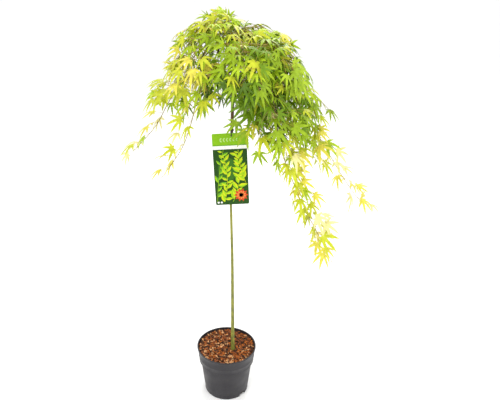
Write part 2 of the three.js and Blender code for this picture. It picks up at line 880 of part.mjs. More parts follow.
// The limbs of the crown, each cut clear of those before it, with its route and the space it takes up
function growLimbs(trunkClear) {
  const limbs = {};
  let taken = trunkClear;
  const addLimb = (name, route, startRadius, endRadius, steps) => {
    const whole = limbSolid(route, startRadius, endRadius, bough.sides, steps);
    const clear = limbSolid(route, startRadius, endRadius, bough.sides, steps, gap);
    limbs[name] = { route, solid: largestBody(whole.subtract(taken)), clear };
    taken = taken.add(clear);
  };
  for (const side of crownSides) {
    const centre = trunkCentre(side.start.height);
    const start = centre.clone().addScaledVector(outward(side.start.heading), 2);
    const route = archRoute(start, stationPoint(side.bough), bough.lift);
    addLimb(`bough_${side.name}`, route, bough.baseRadius, bough.tipRadius, bough.steps);
    if (side.lower) {
      const low = onwardRoute(route, stationPoint(side.lowBough));
      addLimb(`bough_${side.name}_low`, low, bough.tipRadius, bough.lowTipRadius, bough.lowSteps);
    }
  }
  for (const top of crownTops) {
    const start = trunkCentre(fork.z).addScaledVector(outward(top.heading), bough.topReach);
    start.z -= bough.baseRadius;
    const route = archRoute(start, stationPoint(top.bough), bough.topLift);
    addLimb(`bough_${top.name}`, route, bough.baseRadius, bough.tipRadius, bough.topSteps);
  }
  return limbs;
}

function growMasses(limbs, keepClear) {
  const masses = {};
  const addMass = (name, spec, parent, spaces, heading, lean) => {
    const route = stemRoute(parent.route, spec.stations, lean);
    masses[name] = new Mass(spec, route, spaces, heading, keepClear).grow();
  };
  for (const side of crownSides) {
    const heading = middle(side.wedge);
    const main = limbs[`bough_${side.name}`];
    addMass(`foliage_${side.name}`, side.upper, main, upperSpaces(side), heading, side.lower ? 1 : 0.5);
    if (side.lower) {
      const low = limbs[`bough_${side.name}_low`];
      addMass(`foliage_${side.name}_low`, side.lower, low, lowerSpaces(side), heading, 0);
    }
  }
  for (const top of crownTops) {
    addMass(`foliage_${top.name}`, top.mass, limbs[`bough_${top.name}`], topSpaces(top), top.heading, 0);
  }
  return masses;
}

const potted_maple = new THREE.Group();
const trunkClear = trunkSolid(gap);
const limbs = growLimbs(trunkClear);
const card = labelSolid();
const strap = tieSolid(trunkClear);
const limbClears = Object.values(limbs).map((limb) => limb.clear);
const keepClear = wasm.Manifold.union([trunkClear, card, strap, ...limbClears]);
const masses = growMasses(limbs, keepClear);

potted_maple.add(meshOf("pot", potSolid(), finish.pot));
potted_maple.add(meshOf("potting_soil", soilSolid(), finish.soil));
potted_maple.add(meshOf("bark_mulch", mulchSolid(trunkClear), finish.mulch));
potted_maple.add(meshOf("trunk", trunkSolid(), finish.bark));
potted_maple.add(meshOf("plant_label", card, finish.label));
potted_maple.add(meshOf("label_tie", strap, finish.tie));
for (const [name, limb] of Object.entries(limbs)) {
  potted_maple.add(meshOf(name, limb.solid, finish.bough));
}
for (const [name, solid] of Object.entries(masses)) {
  potted_maple.add(meshOf(name, solid, finish.foliage));
}

export default potted_maple;
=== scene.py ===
# A small weeping maple in its nursery pot, dressed for a soft studio picture.
# Lengths are in millimetres while things grow, and mm turns them into Blender's metres.
import math
import random

import bmesh
import bpy
import numpy as np
from mathutils import Matrix, Vector, noise


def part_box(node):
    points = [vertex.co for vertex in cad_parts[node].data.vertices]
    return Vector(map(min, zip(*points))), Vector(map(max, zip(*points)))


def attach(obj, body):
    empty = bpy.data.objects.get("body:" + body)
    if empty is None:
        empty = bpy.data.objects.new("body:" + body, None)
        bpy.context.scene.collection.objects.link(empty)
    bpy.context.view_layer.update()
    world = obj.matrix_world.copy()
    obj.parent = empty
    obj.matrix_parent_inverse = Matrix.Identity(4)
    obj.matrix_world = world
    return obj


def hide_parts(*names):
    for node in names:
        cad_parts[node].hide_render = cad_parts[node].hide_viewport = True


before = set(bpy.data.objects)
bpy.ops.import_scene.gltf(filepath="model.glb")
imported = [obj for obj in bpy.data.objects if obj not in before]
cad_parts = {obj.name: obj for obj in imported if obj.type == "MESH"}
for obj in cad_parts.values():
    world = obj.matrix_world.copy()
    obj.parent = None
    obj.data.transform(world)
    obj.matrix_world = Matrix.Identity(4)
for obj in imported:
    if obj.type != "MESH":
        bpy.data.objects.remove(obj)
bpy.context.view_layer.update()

mm = 0.001
up = np.array([0.0, 0.0, 1.0])
foliageNodes = sorted(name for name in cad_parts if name.startswith("foliage"))


# Camera, light and floor come first

studio = {
    "cameraPlace": (0.0, -1.5, 1.337),
    "cameraPitch": 23.7,          # degrees below level
    "focalPixels": 567,
    "frameWidth": 500,
    "potAxisPixel": 226.5,        # where the pot's axis falls across the picture
    "sensor": 36,
    "worldLight": (1, 1, 1),
    "worldStrength": 1.08,
    # each lamp's name, place, size, power and colour
    "lamps": [
        ("key", (-1.7, -2.3, 3.0), 1.6, 46, (1, 0.98, 0.95)),
        ("fill", (2.4, -1.7, 1.6), 2.0, 24, (0.97, 0.99, 1)),
        ("back", (0.4, 2.3, 2.6), 1.8, 44, (1, 0.99, 0.96)),
    ],
    "lampAim": (0, 0, 0.8),
    "floorColour": (0.95, 0.95, 0.948),
    "floorShade": 0.985,          # the darker patches of the floor, as a share of its colour
    "floorSize": 90,
    "floorDrop": 0.0003,          # so that the floor and the pot's underside don't meet
}


def newObject(name, data):
    thing = bpy.data.objects.new(name, data)
    bpy.context.scene.collection.objects.link(thing)
    return thing


def makeStudio():
    camera = bpy.data.cameras.new("camera")
    camera.sensor_width = studio["sensor"]
    camera.lens = studio["focalPixels"] / studio["frameWidth"] * studio["sensor"]
    camera.shift_x = 0.5 - studio["potAxisPixel"] / studio["frameWidth"]
    camera.clip_end = 200
    view = newObject("camera", camera)
    view.location = studio["cameraPlace"]
    view.rotation_euler = (math.radians(90 - studio["cameraPitch"]), 0, 0)
    bpy.context.scene.camera = view
    bpy.context.scene.view_settings.view_transform = "Standard"

    world = bpy.data.worlds.new("studio")
    world.use_nodes = True
    sky = world.node_tree.nodes["Background"]
    sky.inputs["Color"].default_value = (*studio["worldLight"], 1)
    sky.inputs["Strength"].default_value = studio["worldStrength"]
    bpy.context.scene.world = world
    for lamp in studio["lamps"]:
        addLamp(*lamp)


def addLamp(name, place, size, power, colour):
    lamp = bpy.data.lights.new(name, "AREA")
    lamp.size = size
    lamp.energy = power
    lamp.color = colour
    holder = newObject(name, lamp)
    holder.location = place
    aim = Vector(studio["lampAim"]) - Vector(place)
    holder.rotation_euler = aim.to_track_quat("-Z", "Y").to_euler()


# Materials

def newMaterial(name, roughness, colour=None):
    material = bpy.data.materials.new(name)
    material.use_nodes = True
    tree = material.node_tree
    shader = tree.nodes["Principled BSDF"]
    shader.inputs["Roughness"].default_value = roughness
    if colour:
        shader.inputs["Base Color"].default_value = (*colour, 1)
        material.diffuse_color = (*colour, 1)
    return material, tree, shader


def fill(tree, node, inputs):     # links the inputs that come from other nodes and sets the rest
    for name, value in inputs.items():
        if isinstance(value, bpy.types.NodeSocket):
            tree.links.new(value, node.inputs[name])
        else:
            node.inputs[name].default_value = value
    return node.outputs


def addNode(tree, kind, inputs):
    return fill(tree, tree.nodes.new(f"ShaderNode{kind}"), inputs)


def place(tree):
    return addNode(tree, "TexCoord", {})["Object"]


def speckle(tree, scale, detail=3.0, stretch=None):
    where = place(tree)
    if stretch:
        where = addNode(tree, "Mapping", {"Vector": where, "Scale": stretch})["Vector"]
    return addNode(tree, "TexNoise", {"Vector": where, "Scale": scale, "Detail": detail})["Fac"]


def blendColours(tree, factor, stops):
    ramp = tree.nodes.new("ShaderNodeValToRGB")
    while len(ramp.color_ramp.elements) < len(stops):
        ramp.color_ramp.elements.new(0.5)
    for element, (position, colour) in zip(ramp.color_ramp.elements, stops):
        element.position = position
        element.color = (*colour, 1)
    return fill(tree, ramp, {"Fac": factor})["Color"]


def addBump(tree, shader, height, strength, distance):
    bump = addNode(tree, "Bump", {"Strength": strength, "Distance": distance, "Height": height})
    fill(tree, shader, {"Normal": bump["Normal"]})


def colourBy(tree, shader, factor, stops):
    fill(tree, shader, {"Base Color": blendColours(tree, factor, stops)})


# Patches of a dark and a light colour, with a fine relief where relief is above 0
def mottled(name, roughness, dark, light, grain, relief, reliefGrain, detail=4.0, stretch=None, gloss=0.3):
    material, tree, shader = newMaterial(name, roughness, light)
    shader.inputs["Specular IOR Level"].default_value = gloss
    colourBy(tree, shader, speckle(tree, grain, detail, stretch), [(0.32, dark), (0.68, light)])
    if relief:
        addBump(tree, shader, speckle(tree, reliefGrain, 5.0, stretch), relief, 0.0006)
    return material


# Meshes

def makePiece(name, verts, faces, material, replaced=(), smooth=True):
    mesh = bpy.data.meshes.new(name)
    mesh.from_pydata([tuple(v) for v in np.asarray(verts) * mm], [], [tuple(map(int, f)) for f in faces])
    mesh.update()
    mesh.materials.append(material)
    mesh.polygons.foreach_set("use_smooth", [smooth] * len(mesh.polygons))
    piece = newObject(name, mesh)
    seat(piece, replaced)
    return piece


def seat(piece, replaced=()):
    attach(piece, "root")
    if replaced:
        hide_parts(*replaced)


class Pile:                       # many small meshes joined into one
    def __init__(self):
        self.verts = []
        self.faces = []
        self.count = 0

    def add(self, verts, faces):
        self.verts.append(np.asarray(verts, float))
        self.faces.append([tuple(i + self.count for i in face) for face in faces])
        self.count += len(verts)

    def piece(self, name, material, slotName, replaced=(), smooth=True):
        faces = [face for group in self.faces for face in group]
        makePiece(name, np.vstack(self.verts), faces, material, replaced, smooth)


def ringFaces(rings, sides):      # rings of points joined into a tube with closed ends
    faces = []
    for i in range(rings - 1):
        for j in range(sides):
            a = i * sides + j
            b = i * sides + (j + 1) % sides
            faces.append((a, b, b + sides, a + sides))
    faces.append(tuple(range(sides - 1, -1, -1)))
    faces.append(tuple(range((rings - 1) * sides, rings * sides)))
    return faces


def ringPoints(centre, width, height, count):   # around an ellipse, from its half width and height
    turns = [2 * math.pi * k / count for k in range(count)]
    return [(centre[0] + width * math.cos(turn), centre[1] + height * math.sin(turn)) for turn in turns]


def lathe(profile, sides, centre=(0, 0), closed=False):   # radii and heights turned round an upright axis
    verts, faces, rows = [], [], []
    for radius, height in profile:
        ring = ringPoints(centre, radius, radius, sides) if radius else [centre]
        rows.append(range(len(verts), len(verts) + len(ring)))
        verts += [(x, y, height) for x, y in ring]
    for a, b in zip(rows, rows[1:] + rows[:1] if closed else rows[1:]):
        for j in range(sides):
            k = (j + 1) % sides
            if len(a) == 1:
                faces.append((a[0], b[k], b[j]))
            elif len(b) == 1:
                faces.append((a[j], a[k], b[0]))
            else:
                faces.append((a[j], a[k], b[k], b[j]))
    return verts, faces


# Routes, as the part's own source lays them

def unit(v):
    return v / np.linalg.norm(v)


def outward(heading):
    turn = math.radians(heading)
    return np.array([math.cos(turn), math.sin(turn), 0.0])


def smoothLine(points, perSpan=20):   # a centripetal Catmull-Rom line through the points
    points = np.array(points, float)
    ends = np.vstack([2 * points[0] - points[1], points, 2 * points[-1] - points[-2]])
    line = []
    for i in range(1, len(ends) - 2):
        x0, x1, x2, x3 = ends[i - 1:i + 3]
        d0, d1, d2 = (np.linalg.norm(b - a) ** 0.5 for a, b in ((x0, x1), (x1, x2), (x2, x3)))
        t1 = ((x1 - x0) / d0 - (x2 - x0) / (d0 + d1) + (x2 - x1) / d1) * d1
        t2 = ((x2 - x1) / d1 - (x3 - x1) / (d1 + d2) + (x3 - x2) / d2) * d1
        for k in range(perSpan):
            t = k / perSpan
            curve = (-3 * x1 + 3 * x2 - 2 * t1 - t2) * t ** 2 + (2 * x1 - 2 * x2 + t1 + t2) * t ** 3
            line.append(x1 + t1 * t + curve)
    line.append(points[-1])
    return np.array(line)


def bentLine(start, knee, end, count=24):   # a quadratic curve
    t = np.linspace(0, 1, count)[:, None]
    return (1 - t) ** 2 * start + 2 * t * (1 - t) * knee + t ** 2 * end


class Route:                      # a line measured along its own length
    def __init__(self, line):
        self.line = np.asarray(line, float)
        steps = np.linalg.norm(np.diff(self.line, axis=0), axis=1)
        self.run = np.concatenate([[0], np.cumsum(steps)])
        self.length = self.run[-1]

    def at(self, share):
        where = share * self.length
        return np.array([np.interp(where, self.run, self.line[:, k]) for k in range(3)])

    def along(self, share):
        low, high = max(share - 0.01, 0), min(share + 0.01, 1)
        return unit(self.at(high) - self.at(low))


def tubeFrames(route, steps):
    frames = []
    side = None
    for i in range(steps + 1):
        along = route.along(i / steps)
        if side is None:
            side = np.array([1.0, 0, 0]) if abs(along[0]) < 0.8 else np.array([0, 1.0, 0])
        side = unit(side - side.dot(along) * along)
        frames.append((i / steps, route.at(i / steps), side, np.cross(along, side)))
    return frames


def tube(route, startRadius, endRadius, sides, steps, relief=None):
    verts = []
    for share, centre, side, across in tubeFrames(route, steps):
        radius = startRadius + (endRadius - startRadius) * share
        for j in range(sides):
            turn = 2 * math.pi * j / sides
            point = math.cos(turn) * side + math.sin(turn) * across
            bump = relief(centre + point * radius, share, turn) if relief else 0
            verts.append(centre + point * (radius + bump))
    return verts, ringFaces(steps + 1, sides)


# Trunk

trunkPlan = {
    # x, y, z and radius, from the ground to the fork
    "stations": [
        (20.3, -11, 146.3, 6.4), (20.2, -11, 160, 5.9), (19.2, -7, 300, 5), (17.6, -2, 470, 4.2),
        (14.2, 0, 610, 3.7), (11.8, 0.5, 700, 3.6), (12.6, 0.5, 810, 3.9), (15.5, 0, 922, 4.3),
        (17.4, 1, 1033, 4.7), (22, 1, 1080, 6.2), (26.4, 0, 1104, 8.2), (29.6, 0, 1121, 6.4),
    ],
    "flare": 4.2,
    "flareHeight": 9,
    "buttresses": 3,
    "buttressSwell": 0.35,
    "sides": 28,
    "ringStep": 3.2,
    "nodeSpacing": 74,            # swollen rings where old leaf pairs stood
    "nodeWidth": 0.035,           # a share of the spacing
    "nodeSwell": 0.45,
    "graft": (1098, 20),          # the lumpy graft's height and half length
    "graftSwell": 1.1,
    "graftGrain": 0.11,
    "olive": (0.25, 0.25, 0.028),
    "oliveDark": (0.13, 0.14, 0.022),
    "brown": (0.075, 0.028, 0.014),
    "brownLight": (0.15, 0.065, 0.03),
    "browning": (0.70, 0.95),     # from olive to brown, in metres above the floor
}
fork = np.array(trunkPlan["stations"][-1][:3])
trunkLine = smoothLine([station[:3] for station in trunkPlan["stations"]])


def trunkCentre(height):
    return np.array([np.interp(height, trunkLine[:, 2], trunkLine[:, k]) for k in range(3)])


def trunkRadius(height):
    heights = [station[2] for station in trunkPlan["stations"]]
    return np.interp(height, heights, [station[3] for station in trunkPlan["stations"]])


# The bark's relief: long shallow grooves with small warts between them
barkPlan = {
    "groove": 0.22,
    "grooveGrain": np.array([0.5, 0.5, 0.035]),
    "wart": 0.5,
    "wartGrain": np.array([0.45, 0.45, 0.16]),
    "wartShift": np.array([30, 0, 0]),
    "wartFrom": 0.32,
}


def barkHeight(point, fine=1.0):
    p = barkPlan
    groove = noise.noise(Vector(point * p["grooveGrain"]))
    wart = noise.noise(Vector(point * p["wartGrain"] + p["wartShift"]))
    return fine * (p["groove"] * groove + p["wart"] * max(wart - p["wartFrom"], 0))


def makeTrunk(bark):
    p = trunkPlan
    low, high = p["stations"][0][2], p["stations"][-1][2]
    count = int((high - low) / p["ringStep"])
    graftHeight, graftReach = p["graft"]
    verts = []
    for i in range(count + 1):
        height = low + (high - low) * (i / count)
        centre = trunkCentre(height)
        above = height - low
        flare = p["flare"] * math.exp(-above / p["flareHeight"])
        node = (above % p["nodeSpacing"]) / p["nodeSpacing"] - 0.5
        swell = p["nodeSwell"] * math.exp(-(node / p["nodeWidth"]) ** 2)
        graft = p["graftSwell"] * math.exp(-((height - graftHeight) / graftReach) ** 2)
        for j in range(p["sides"]):
            turn = 2 * math.pi * j / p["sides"]
            buttress = 1 + p["buttressSwell"] * math.cos(p["buttresses"] * turn)
            ray = np.array([math.cos(turn), math.sin(turn), 0])
            point = centre + ray * (trunkRadius(height) + flare * buttress + swell)
            lump = graft * noise.noise(Vector(point * p["graftGrain"]))
            verts.append(point + ray * (barkHeight(point) + lump))
    makePiece("trunk_bark", verts, ringFaces(count + 1, p["sides"]), bark, ["trunk"])
    print("trunk: ", len(verts), "points")


def trunkBark():
    p = trunkPlan
    material, tree, shader = newMaterial("trunk bark", 0.6, p["olive"])
    patches = speckle(tree, 160, 5, (1, 1, 0.35))
    olive = blendColours(tree, patches, [(0.35, p["oliveDark"]), (0.62, p["olive"])])
    brown = blendColours(tree, patches, [(0.35, p["brown"]), (0.7, p["brownLight"])])
    height = addNode(tree, "SeparateXYZ", {"Vector": place(tree)})["Z"]
    start, end = p["browning"]
    rise = addNode(tree, "MapRange", {"Value": height, "From Min": start, "From Max": end})["Result"]
    mix = tree.nodes.new("ShaderNodeMix")
    mix.data_type = "RGBA"
    colour = fill(tree, mix, {"Factor": rise, "A": olive, "B": brown})["Result"]
    fill(tree, shader, {"Base Color": colour})
    addBump(tree, shader, speckle(tree, 900, 6, (1, 1, 0.3)), 0.35, 0.0004)
    return material


# Boughs

boughPlan = {
    "baseRadius": 3.1,
    "tipRadius": 2.2,
    "lowTipRadius": 1.8,
    "skin": (0.25, 0.1),          # the relief's own height, taken off the radius at the base and the tip
    "lift": 24,
    "topLift": -8,
    "startReach": 2,              # from the trunk's axis to a limb's start
    "topReach": 4,
    "gap": 0.3,                   # before a lower limb carries on
    "onwardKnee": 0.45,
    "sides": 12,
    "step": 1.8,
    "ringSpacing": 19,            # the rings of old leaf pairs
    "ringWidth": 1.3,
    "ringSwell": 0.3,
    "fine": 0.7,
    "dark": (0.045, 0.02, 0.012),
    "light": (0.12, 0.055, 0.028),
}

# Each side of the crown is a wedge of headings, in degrees from +X towards +Y, seen from the fork.
# A station is a heading, a reach from the fork's axis and a height.
crownSides = {
    "right": {
        "wedge": (-6, 36), "start": (15, 1112), "bough": (15, 46, 1130), "lowBough": (12, 94, 1072),
        "upper": {
            "spread": 78, "stations": [(15, 90, 1136), (15, 134, 1112), (15, 170, 1066), (16, 190, 1026)]},
        "lower": {
            "spread": 66, "lighter": 0.7, "fullRun": 185, "tailNodes": 36, "apart": 32, "farLean": 0.5,
            "stations": [
                (11, 128, 1034), (9, 160, 985), (7, 200, 911), (7, 255, 823), (7, 308, 740), (7, 367, 662),
                (7, 392, 646)]},
    },
    "front_right": {
        "wedge": (-52, -6), "start": (-30, 1098), "bough": (-29, 42, 1128), "lowBough": (-30, 76, 1072),
        "upper": {"spread": 78, "stations": [(-29, 86, 1142), (-29, 128, 1118), (-29, 164, 1066)]},
        "lower": {
            "spread": 86, "lighter": 1, "fullRun": 250, "nodes": 22, "apart": 31, "tailNodes": 16,
            "heading": -8, "lean": 0.45, "farLean": 0.2,
            "stations": [
                (-30, 98, 1016), (-29, 114, 940), (-26, 126, 860), (-23, 152, 789), (-21, 194, 695),
                (-20, 240, 613), (-19, 287, 524)]},
    },
    "front": {
        "wedge": (-118, -52), "start": (-85, 1110), "bough": (-85, 36, 1130), "lowBough": None,
        "upper": {
            "spread": 88, "lighter": -0.7,
            "stations": [(-85, 80, 1140), (-85, 122, 1110), (-85, 150, 1072), (-85, 156, 1052)]},
    },
    "front_left": {
        "wedge": (-172, -118), "start": (-148, 1098), "bough": (-145, 44, 1130), "lowBough": (-147, 76, 1076),
        "upper": {
            "spread": 68, "nodes": 44, "apart": 37, "farRun": 150,
            "stations": [(-145, 90, 1146), (-145, 132, 1120), (-145, 166, 1066)]},
        "lower": {
            "spread": 44, "fullRun": 120, "farRun": 140, "firstNode": 48, "nodes": 54, "tailNodes": 36,
            "apart": 35, "lighter": 1.9,
            "stations": [
                (-147, 102, 1032), (-148, 128, 975), (-147, 146, 925), (-148, 170, 869), (-149, 205, 823),
                (-150, 236, 788)]},
    },
    "left": {
        "wedge": (142, 188), "start": (165, 1112), "bough": (170, 56, 1135), "lowBough": (172, 98, 1074),
        "upper": {
            "spread": 62, "nodes": 50, "apart": 39, "farRun": 150,
            "stations": [(167, 96, 1150), (166, 132, 1128), (165, 162, 1078), (165, 176, 1040)]},
        "lower": {
            "spread": 62, "fullRun": 130, "farRun": 140, "nodes": 52, "tailNodes": 36, "apart": 37,
            "lighter": 2.2, "lean": 0.6, "leafRise": -0.1, "rise": -0.1,
            "stations": [
                (172, 130, 1042), (172, 160, 1002), (173, 190, 958), (173, 225, 896), (173, 272, 841),
                (173, 304, 808)]},
    },
    "back_left": {
        "wedge": (90, 142), "start": (116, 1100), "bough": (116, 42, 1131), "lowBough": (116, 78, 1070),
        "upper": {
            "spread": 82, "nodes": 28, "stations": [(116, 90, 1148), (116, 134, 1120), (116, 172, 1060)]},
        "lower": {
            "spread": 58, "nodes": 46, "tailNodes": 46,
            "stations": [(116, 106, 1032), (116, 130, 1006), (116, 146, 984)]},
    },
    "back_right": {
        "wedge": (36, 90), "start": (63, 1104), "bough": (63, 42, 1130), "lowBough": (62, 78, 1070),
        "upper": {"spread": 80, "stations": [(63, 90, 1144), (63, 134, 1118), (63, 172, 1060)]},
        "lower": {"spread": 78, "stations": [(62, 106, 1028), (62, 140, 972), (62, 164, 925)]},
    },
}
crownTop = {"rise": 0.1, "baseRise": 0.8, "leafRise": 0.12, "nodes": 14, "firstNode": 3}
crownTops = {
    "top_left": {
        "heading": 180, "bough": (180, 14, 1148),
        "mass": {**crownTop, "spread": 92, "stations": [(180, 36, 1166), (178, 64, 1172), (178, 86, 1166)]},
    },
    "top_right": {
        "heading": 0, "bough": (0, 12, 1146),
        "mass": {**crownTop, "spread": 84, "stations": [(2, 34, 1160), (2, 62, 1163), (2, 84, 1155)]},
    },
}

# Thin shoots beside the masses' own stems: leaders stand over the crown or fill its top, shoulders reach
# out of its sides, and hangers fill in below. Each has its bough, its kind, a heading and stations.
leader = {
    "spread": 44, "rise": 0.3, "baseRise": 0.5, "leafRise": 0.25, "nodes": 15, "tailNodes": 15,
    "firstNode": 8, "over": 16, "ease": 12,
}
lowLeader = {**leader, "over": 0}
hanger = {
    "spread": 34, "fullRun": 60, "nodes": 40, "tailNodes": 34, "firstNode": 30, "over": 0, "ease": 28,
    "lighter": 1.2,
}
labelHanger = {**hanger, "ease": 44, "lighter": 0.6}   # these hang in front of the label's corner
shoulder = {
    "spread": 46, "rise": 0.05, "baseRise": 0.3, "leafRise": 0.05, "nodes": 23, "tailNodes": 23,
    "firstNode": 34, "over": 4, "ease": 8,
}
crownShoots = [
    ("bough_top_left", {**leader, "over": 26, "nodes": 22, "leafRise": 0.8, "lighter": -0.4}, 170,
     [(172, 24, 1160), (168, 34, 1168), (166, 40, 1174)]),
    ("bough_top_left", leader, 215, [(195, 30, 1166), (205, 62, 1174), (207, 84, 1174)]),
    ("bough_top_left", leader, 110, [(120, 24, 1162), (112, 48, 1172), (110, 62, 1170)]),
    ("bough_top_right", lowLeader, 45, [(70, 14, 1152), (60, 32, 1152), (55, 48, 1146)]),
    ("bough_top_right", lowLeader, 0, [(0, 32, 1146), (-10, 66, 1142), (-14, 92, 1128)]),
    ("bough_top_right", lowLeader, 60, [(60, 30, 1146), (40, 66, 1142), (30, 94, 1130)]),
    ("bough_top_right", {**lowLeader, "ease": 14}, -60, [(-24, 26, 1154), (-42, 44, 1152), (-52, 58, 1146)]),
    ("bough_top_left", {**lowLeader, "ease": 14}, -80, [(-120, 22, 1160), (-100, 44, 1156), (-94, 66, 1148)]),
    ("bough_top_left", shoulder, 172, [(176, 60, 1168), (172, 105, 1174), (170, 146, 1156)]),
    ("bough_left", shoulder, 195, [(188, 96, 1146), (192, 132, 1126), (193, 158, 1092)]),
    ("bough_right", shoulder, 5, [(10, 90, 1132), (6, 122, 1124), (4, 148, 1102)]),
    ("bough_left_low", {**shoulder, "lighter": 1.6}, 185,
     [(178, 130, 1042), (182, 170, 1014), (184, 205, 986)]),
    ("bough_front_left_low", {**hanger, "lighter": 2.8}, -170,
     [(-152, 100, 1030), (-160, 125, 988), (-164, 136, 952)]),
    ("bough_right_low", {**shoulder, "nodes": 34, "tailNodes": 34, "firstNode": 90, "lighter": 2}, 5,
     [(12, 150, 1022), (9, 215, 975), (7, 262, 930)]),
    ("bough_front_right_low", {**labelHanger, "leafRise": -0.05, "nodes": 28}, -70,
     [(-44, 80, 1010), (-50, 78, 962), (-57, 70, 934), (-62, 62, 918)]),
    ("bough_front_right_low", {**hanger, "lighter": 4.2, "lean": -0.1}, -45,
     [(-42, 84, 1000), (-46, 84, 912), (-50, 80, 856)]),
]
lastShoots = [                    # these fill in between the whips, once all else has grown
    ("bough_right_low",
     {**hanger, "spread": 46, "fullRun": 120, "nodes": 34, "firstNode": 110, "lean": 0.5}, -10,
     [(3, 150, 990), (-1, 184, 905), (-3, 204, 845), (-4, 212, 812)]),
    ("bough_front_right_low", {**labelHanger, "leafRise": 0, "firstNode": 70}, -80,
     [(-44, 78, 1022), (-54, 72, 984), (-64, 62, 960), (-76, 50, 944)]),
]


def stationPoint(station):
    heading, reach, height = station
    return np.array([fork[0], fork[1], 0]) + outward(heading) * reach + up * height


def archRoute(start, end, lift):
    knee = (start + end) / 2
    knee[2] = max(start[2], end[2]) + lift
    return Route(bentLine(start, knee, end))


def onwardRoute(parent, end):
    start, along = parent.at(1), parent.along(1)
    knee = start + along * np.linalg.norm(end - start) * boughPlan["onwardKnee"]
    return Route(bentLine(start + along * boughPlan["gap"], knee, end))


def stemRoute(parent, stations, lift):
    p = crownSpace
    along = unit(parent.along(1) + up * lift)
    start = parent.at(1) - along * p["stemInset"][bool(lift)]
    line = smoothLine([start, start + along * p["stemLead"]] + [stationPoint(s) for s in stations])
    reach = np.hypot(line[:, 0] - fork[0], line[:, 1] - fork[1])
    outer = np.clip((reach - p["sagFrom"]) / p["sagReach"], 0, 1)
    high = np.clip((line[:, 2] - p["sagHeight"]) / p["sagFade"], 0, 1)
    line[:, 2] -= p["sag"] * outer * high
    return Route(line)


def layLimbs():
    limbs = {}
    p = boughPlan
    for name, side in crownSides.items():
        heading, height = side["start"]
        start = trunkCentre(height) + outward(heading) * p["startReach"]
        route = archRoute(start, stationPoint(side["bough"]), p["lift"])
        limbs[f"bough_{name}"] = (route, p["baseRadius"], p["tipRadius"])
        if side["lowBough"]:
            low = onwardRoute(route, stationPoint(side["lowBough"]))
            limbs[f"bough_{name}_low"] = (low, p["tipRadius"], p["lowTipRadius"])
    for name, top in crownTops.items():
        start = trunkCentre(fork[2]) + outward(top["heading"]) * p["topReach"]
        start[2] -= p["baseRadius"]
        route = archRoute(start, stationPoint(top["bough"]), p["topLift"])
        limbs[f"bough_{name}"] = (route, p["baseRadius"], p["tipRadius"])
    return limbs


def makeBoughs(limbs, bark):
    p = boughPlan
    for name, (route, startRadius, endRadius) in limbs.items():
        def relief(point, share, turn):
            past = (share * route.length) % p["ringSpacing"] - p["ringSpacing"] / 2
            return barkHeight(point, p["fine"]) + p["ringSwell"] * math.exp(-(past / p["ringWidth"]) ** 2)

        steps = max(12, int(route.length / p["step"]))
        radii = startRadius - p["skin"][0], endRadius - p["skin"][1]
        verts, faces = tube(route, *radii, p["sides"], steps, relief)
        makePiece(f"{name}_bark", verts, faces, bark, [name])
    print("boughs: ", len(limbs))


# Foliage

crownSpace = {
    "axis": (10, 0),              # the dome's own axis, left of the fork
    # how high the crown's skin stands at each reach from that axis, on its left and on its right
    "dome": [
        (0, 1198, 1186), (20, 1200, 1176), (52, 1192, 1166), (85, 1174, 1152), (121, 1162, 1148),
        (146, 1138, 1142), (166, 1106, 1124), (180, 1080, 1104), (192, 1056, 1078), (211, 1030, 1040),
        (228, 1012, 1012), (242, 992, 985), (262, 950, 945), (307, 880, 890), (360, 800, 800),
        (440, 690, 690),
    ],
    # how low growth hangs at each x, so that the sky stays open under the crown and beside the whips
    "under": [
        (-215, 690), (-164, 735), (-136, 790), (-115, 825), (-95, 862), (-80, 900), (-62, 936),
        (-10, 950), (20, 950), (35, 925), (52, 890), (92, 845), (117, 805), (154, 738), (195, 604),
        (220, 555), (266, 455), (300, 400),
    ],
    "underTilt": 0.26,            # it rises towards the front, where the growth is seen from above
    "raggedness": 9,
    "shoulderDepth": 45,          # leaves this near the skin point outward, and their tips stand out of it
    "shoulderReach": 150,
    "shoulderSlack": 28,
    "stemInset": (1, 2),          # how deep a stem starts in its bough, plain or lifted
    "stemLead": 14,               # how far it follows the bough before it turns to its stations
    "sag": 12,                    # the dressed stems hang this much lower, under their leaves
    "sagFrom": 40,
    "sagReach": 80,
    "sagHeight": 1030,
    "sagFade": 30,
    "clearance": 3.5,             # between growth and the limbs
    "trunkFrom": 700,             # the trunk counts as a limb above this height
    "freeEase": 20,               # growth with more ease than this may hang below the open line
}
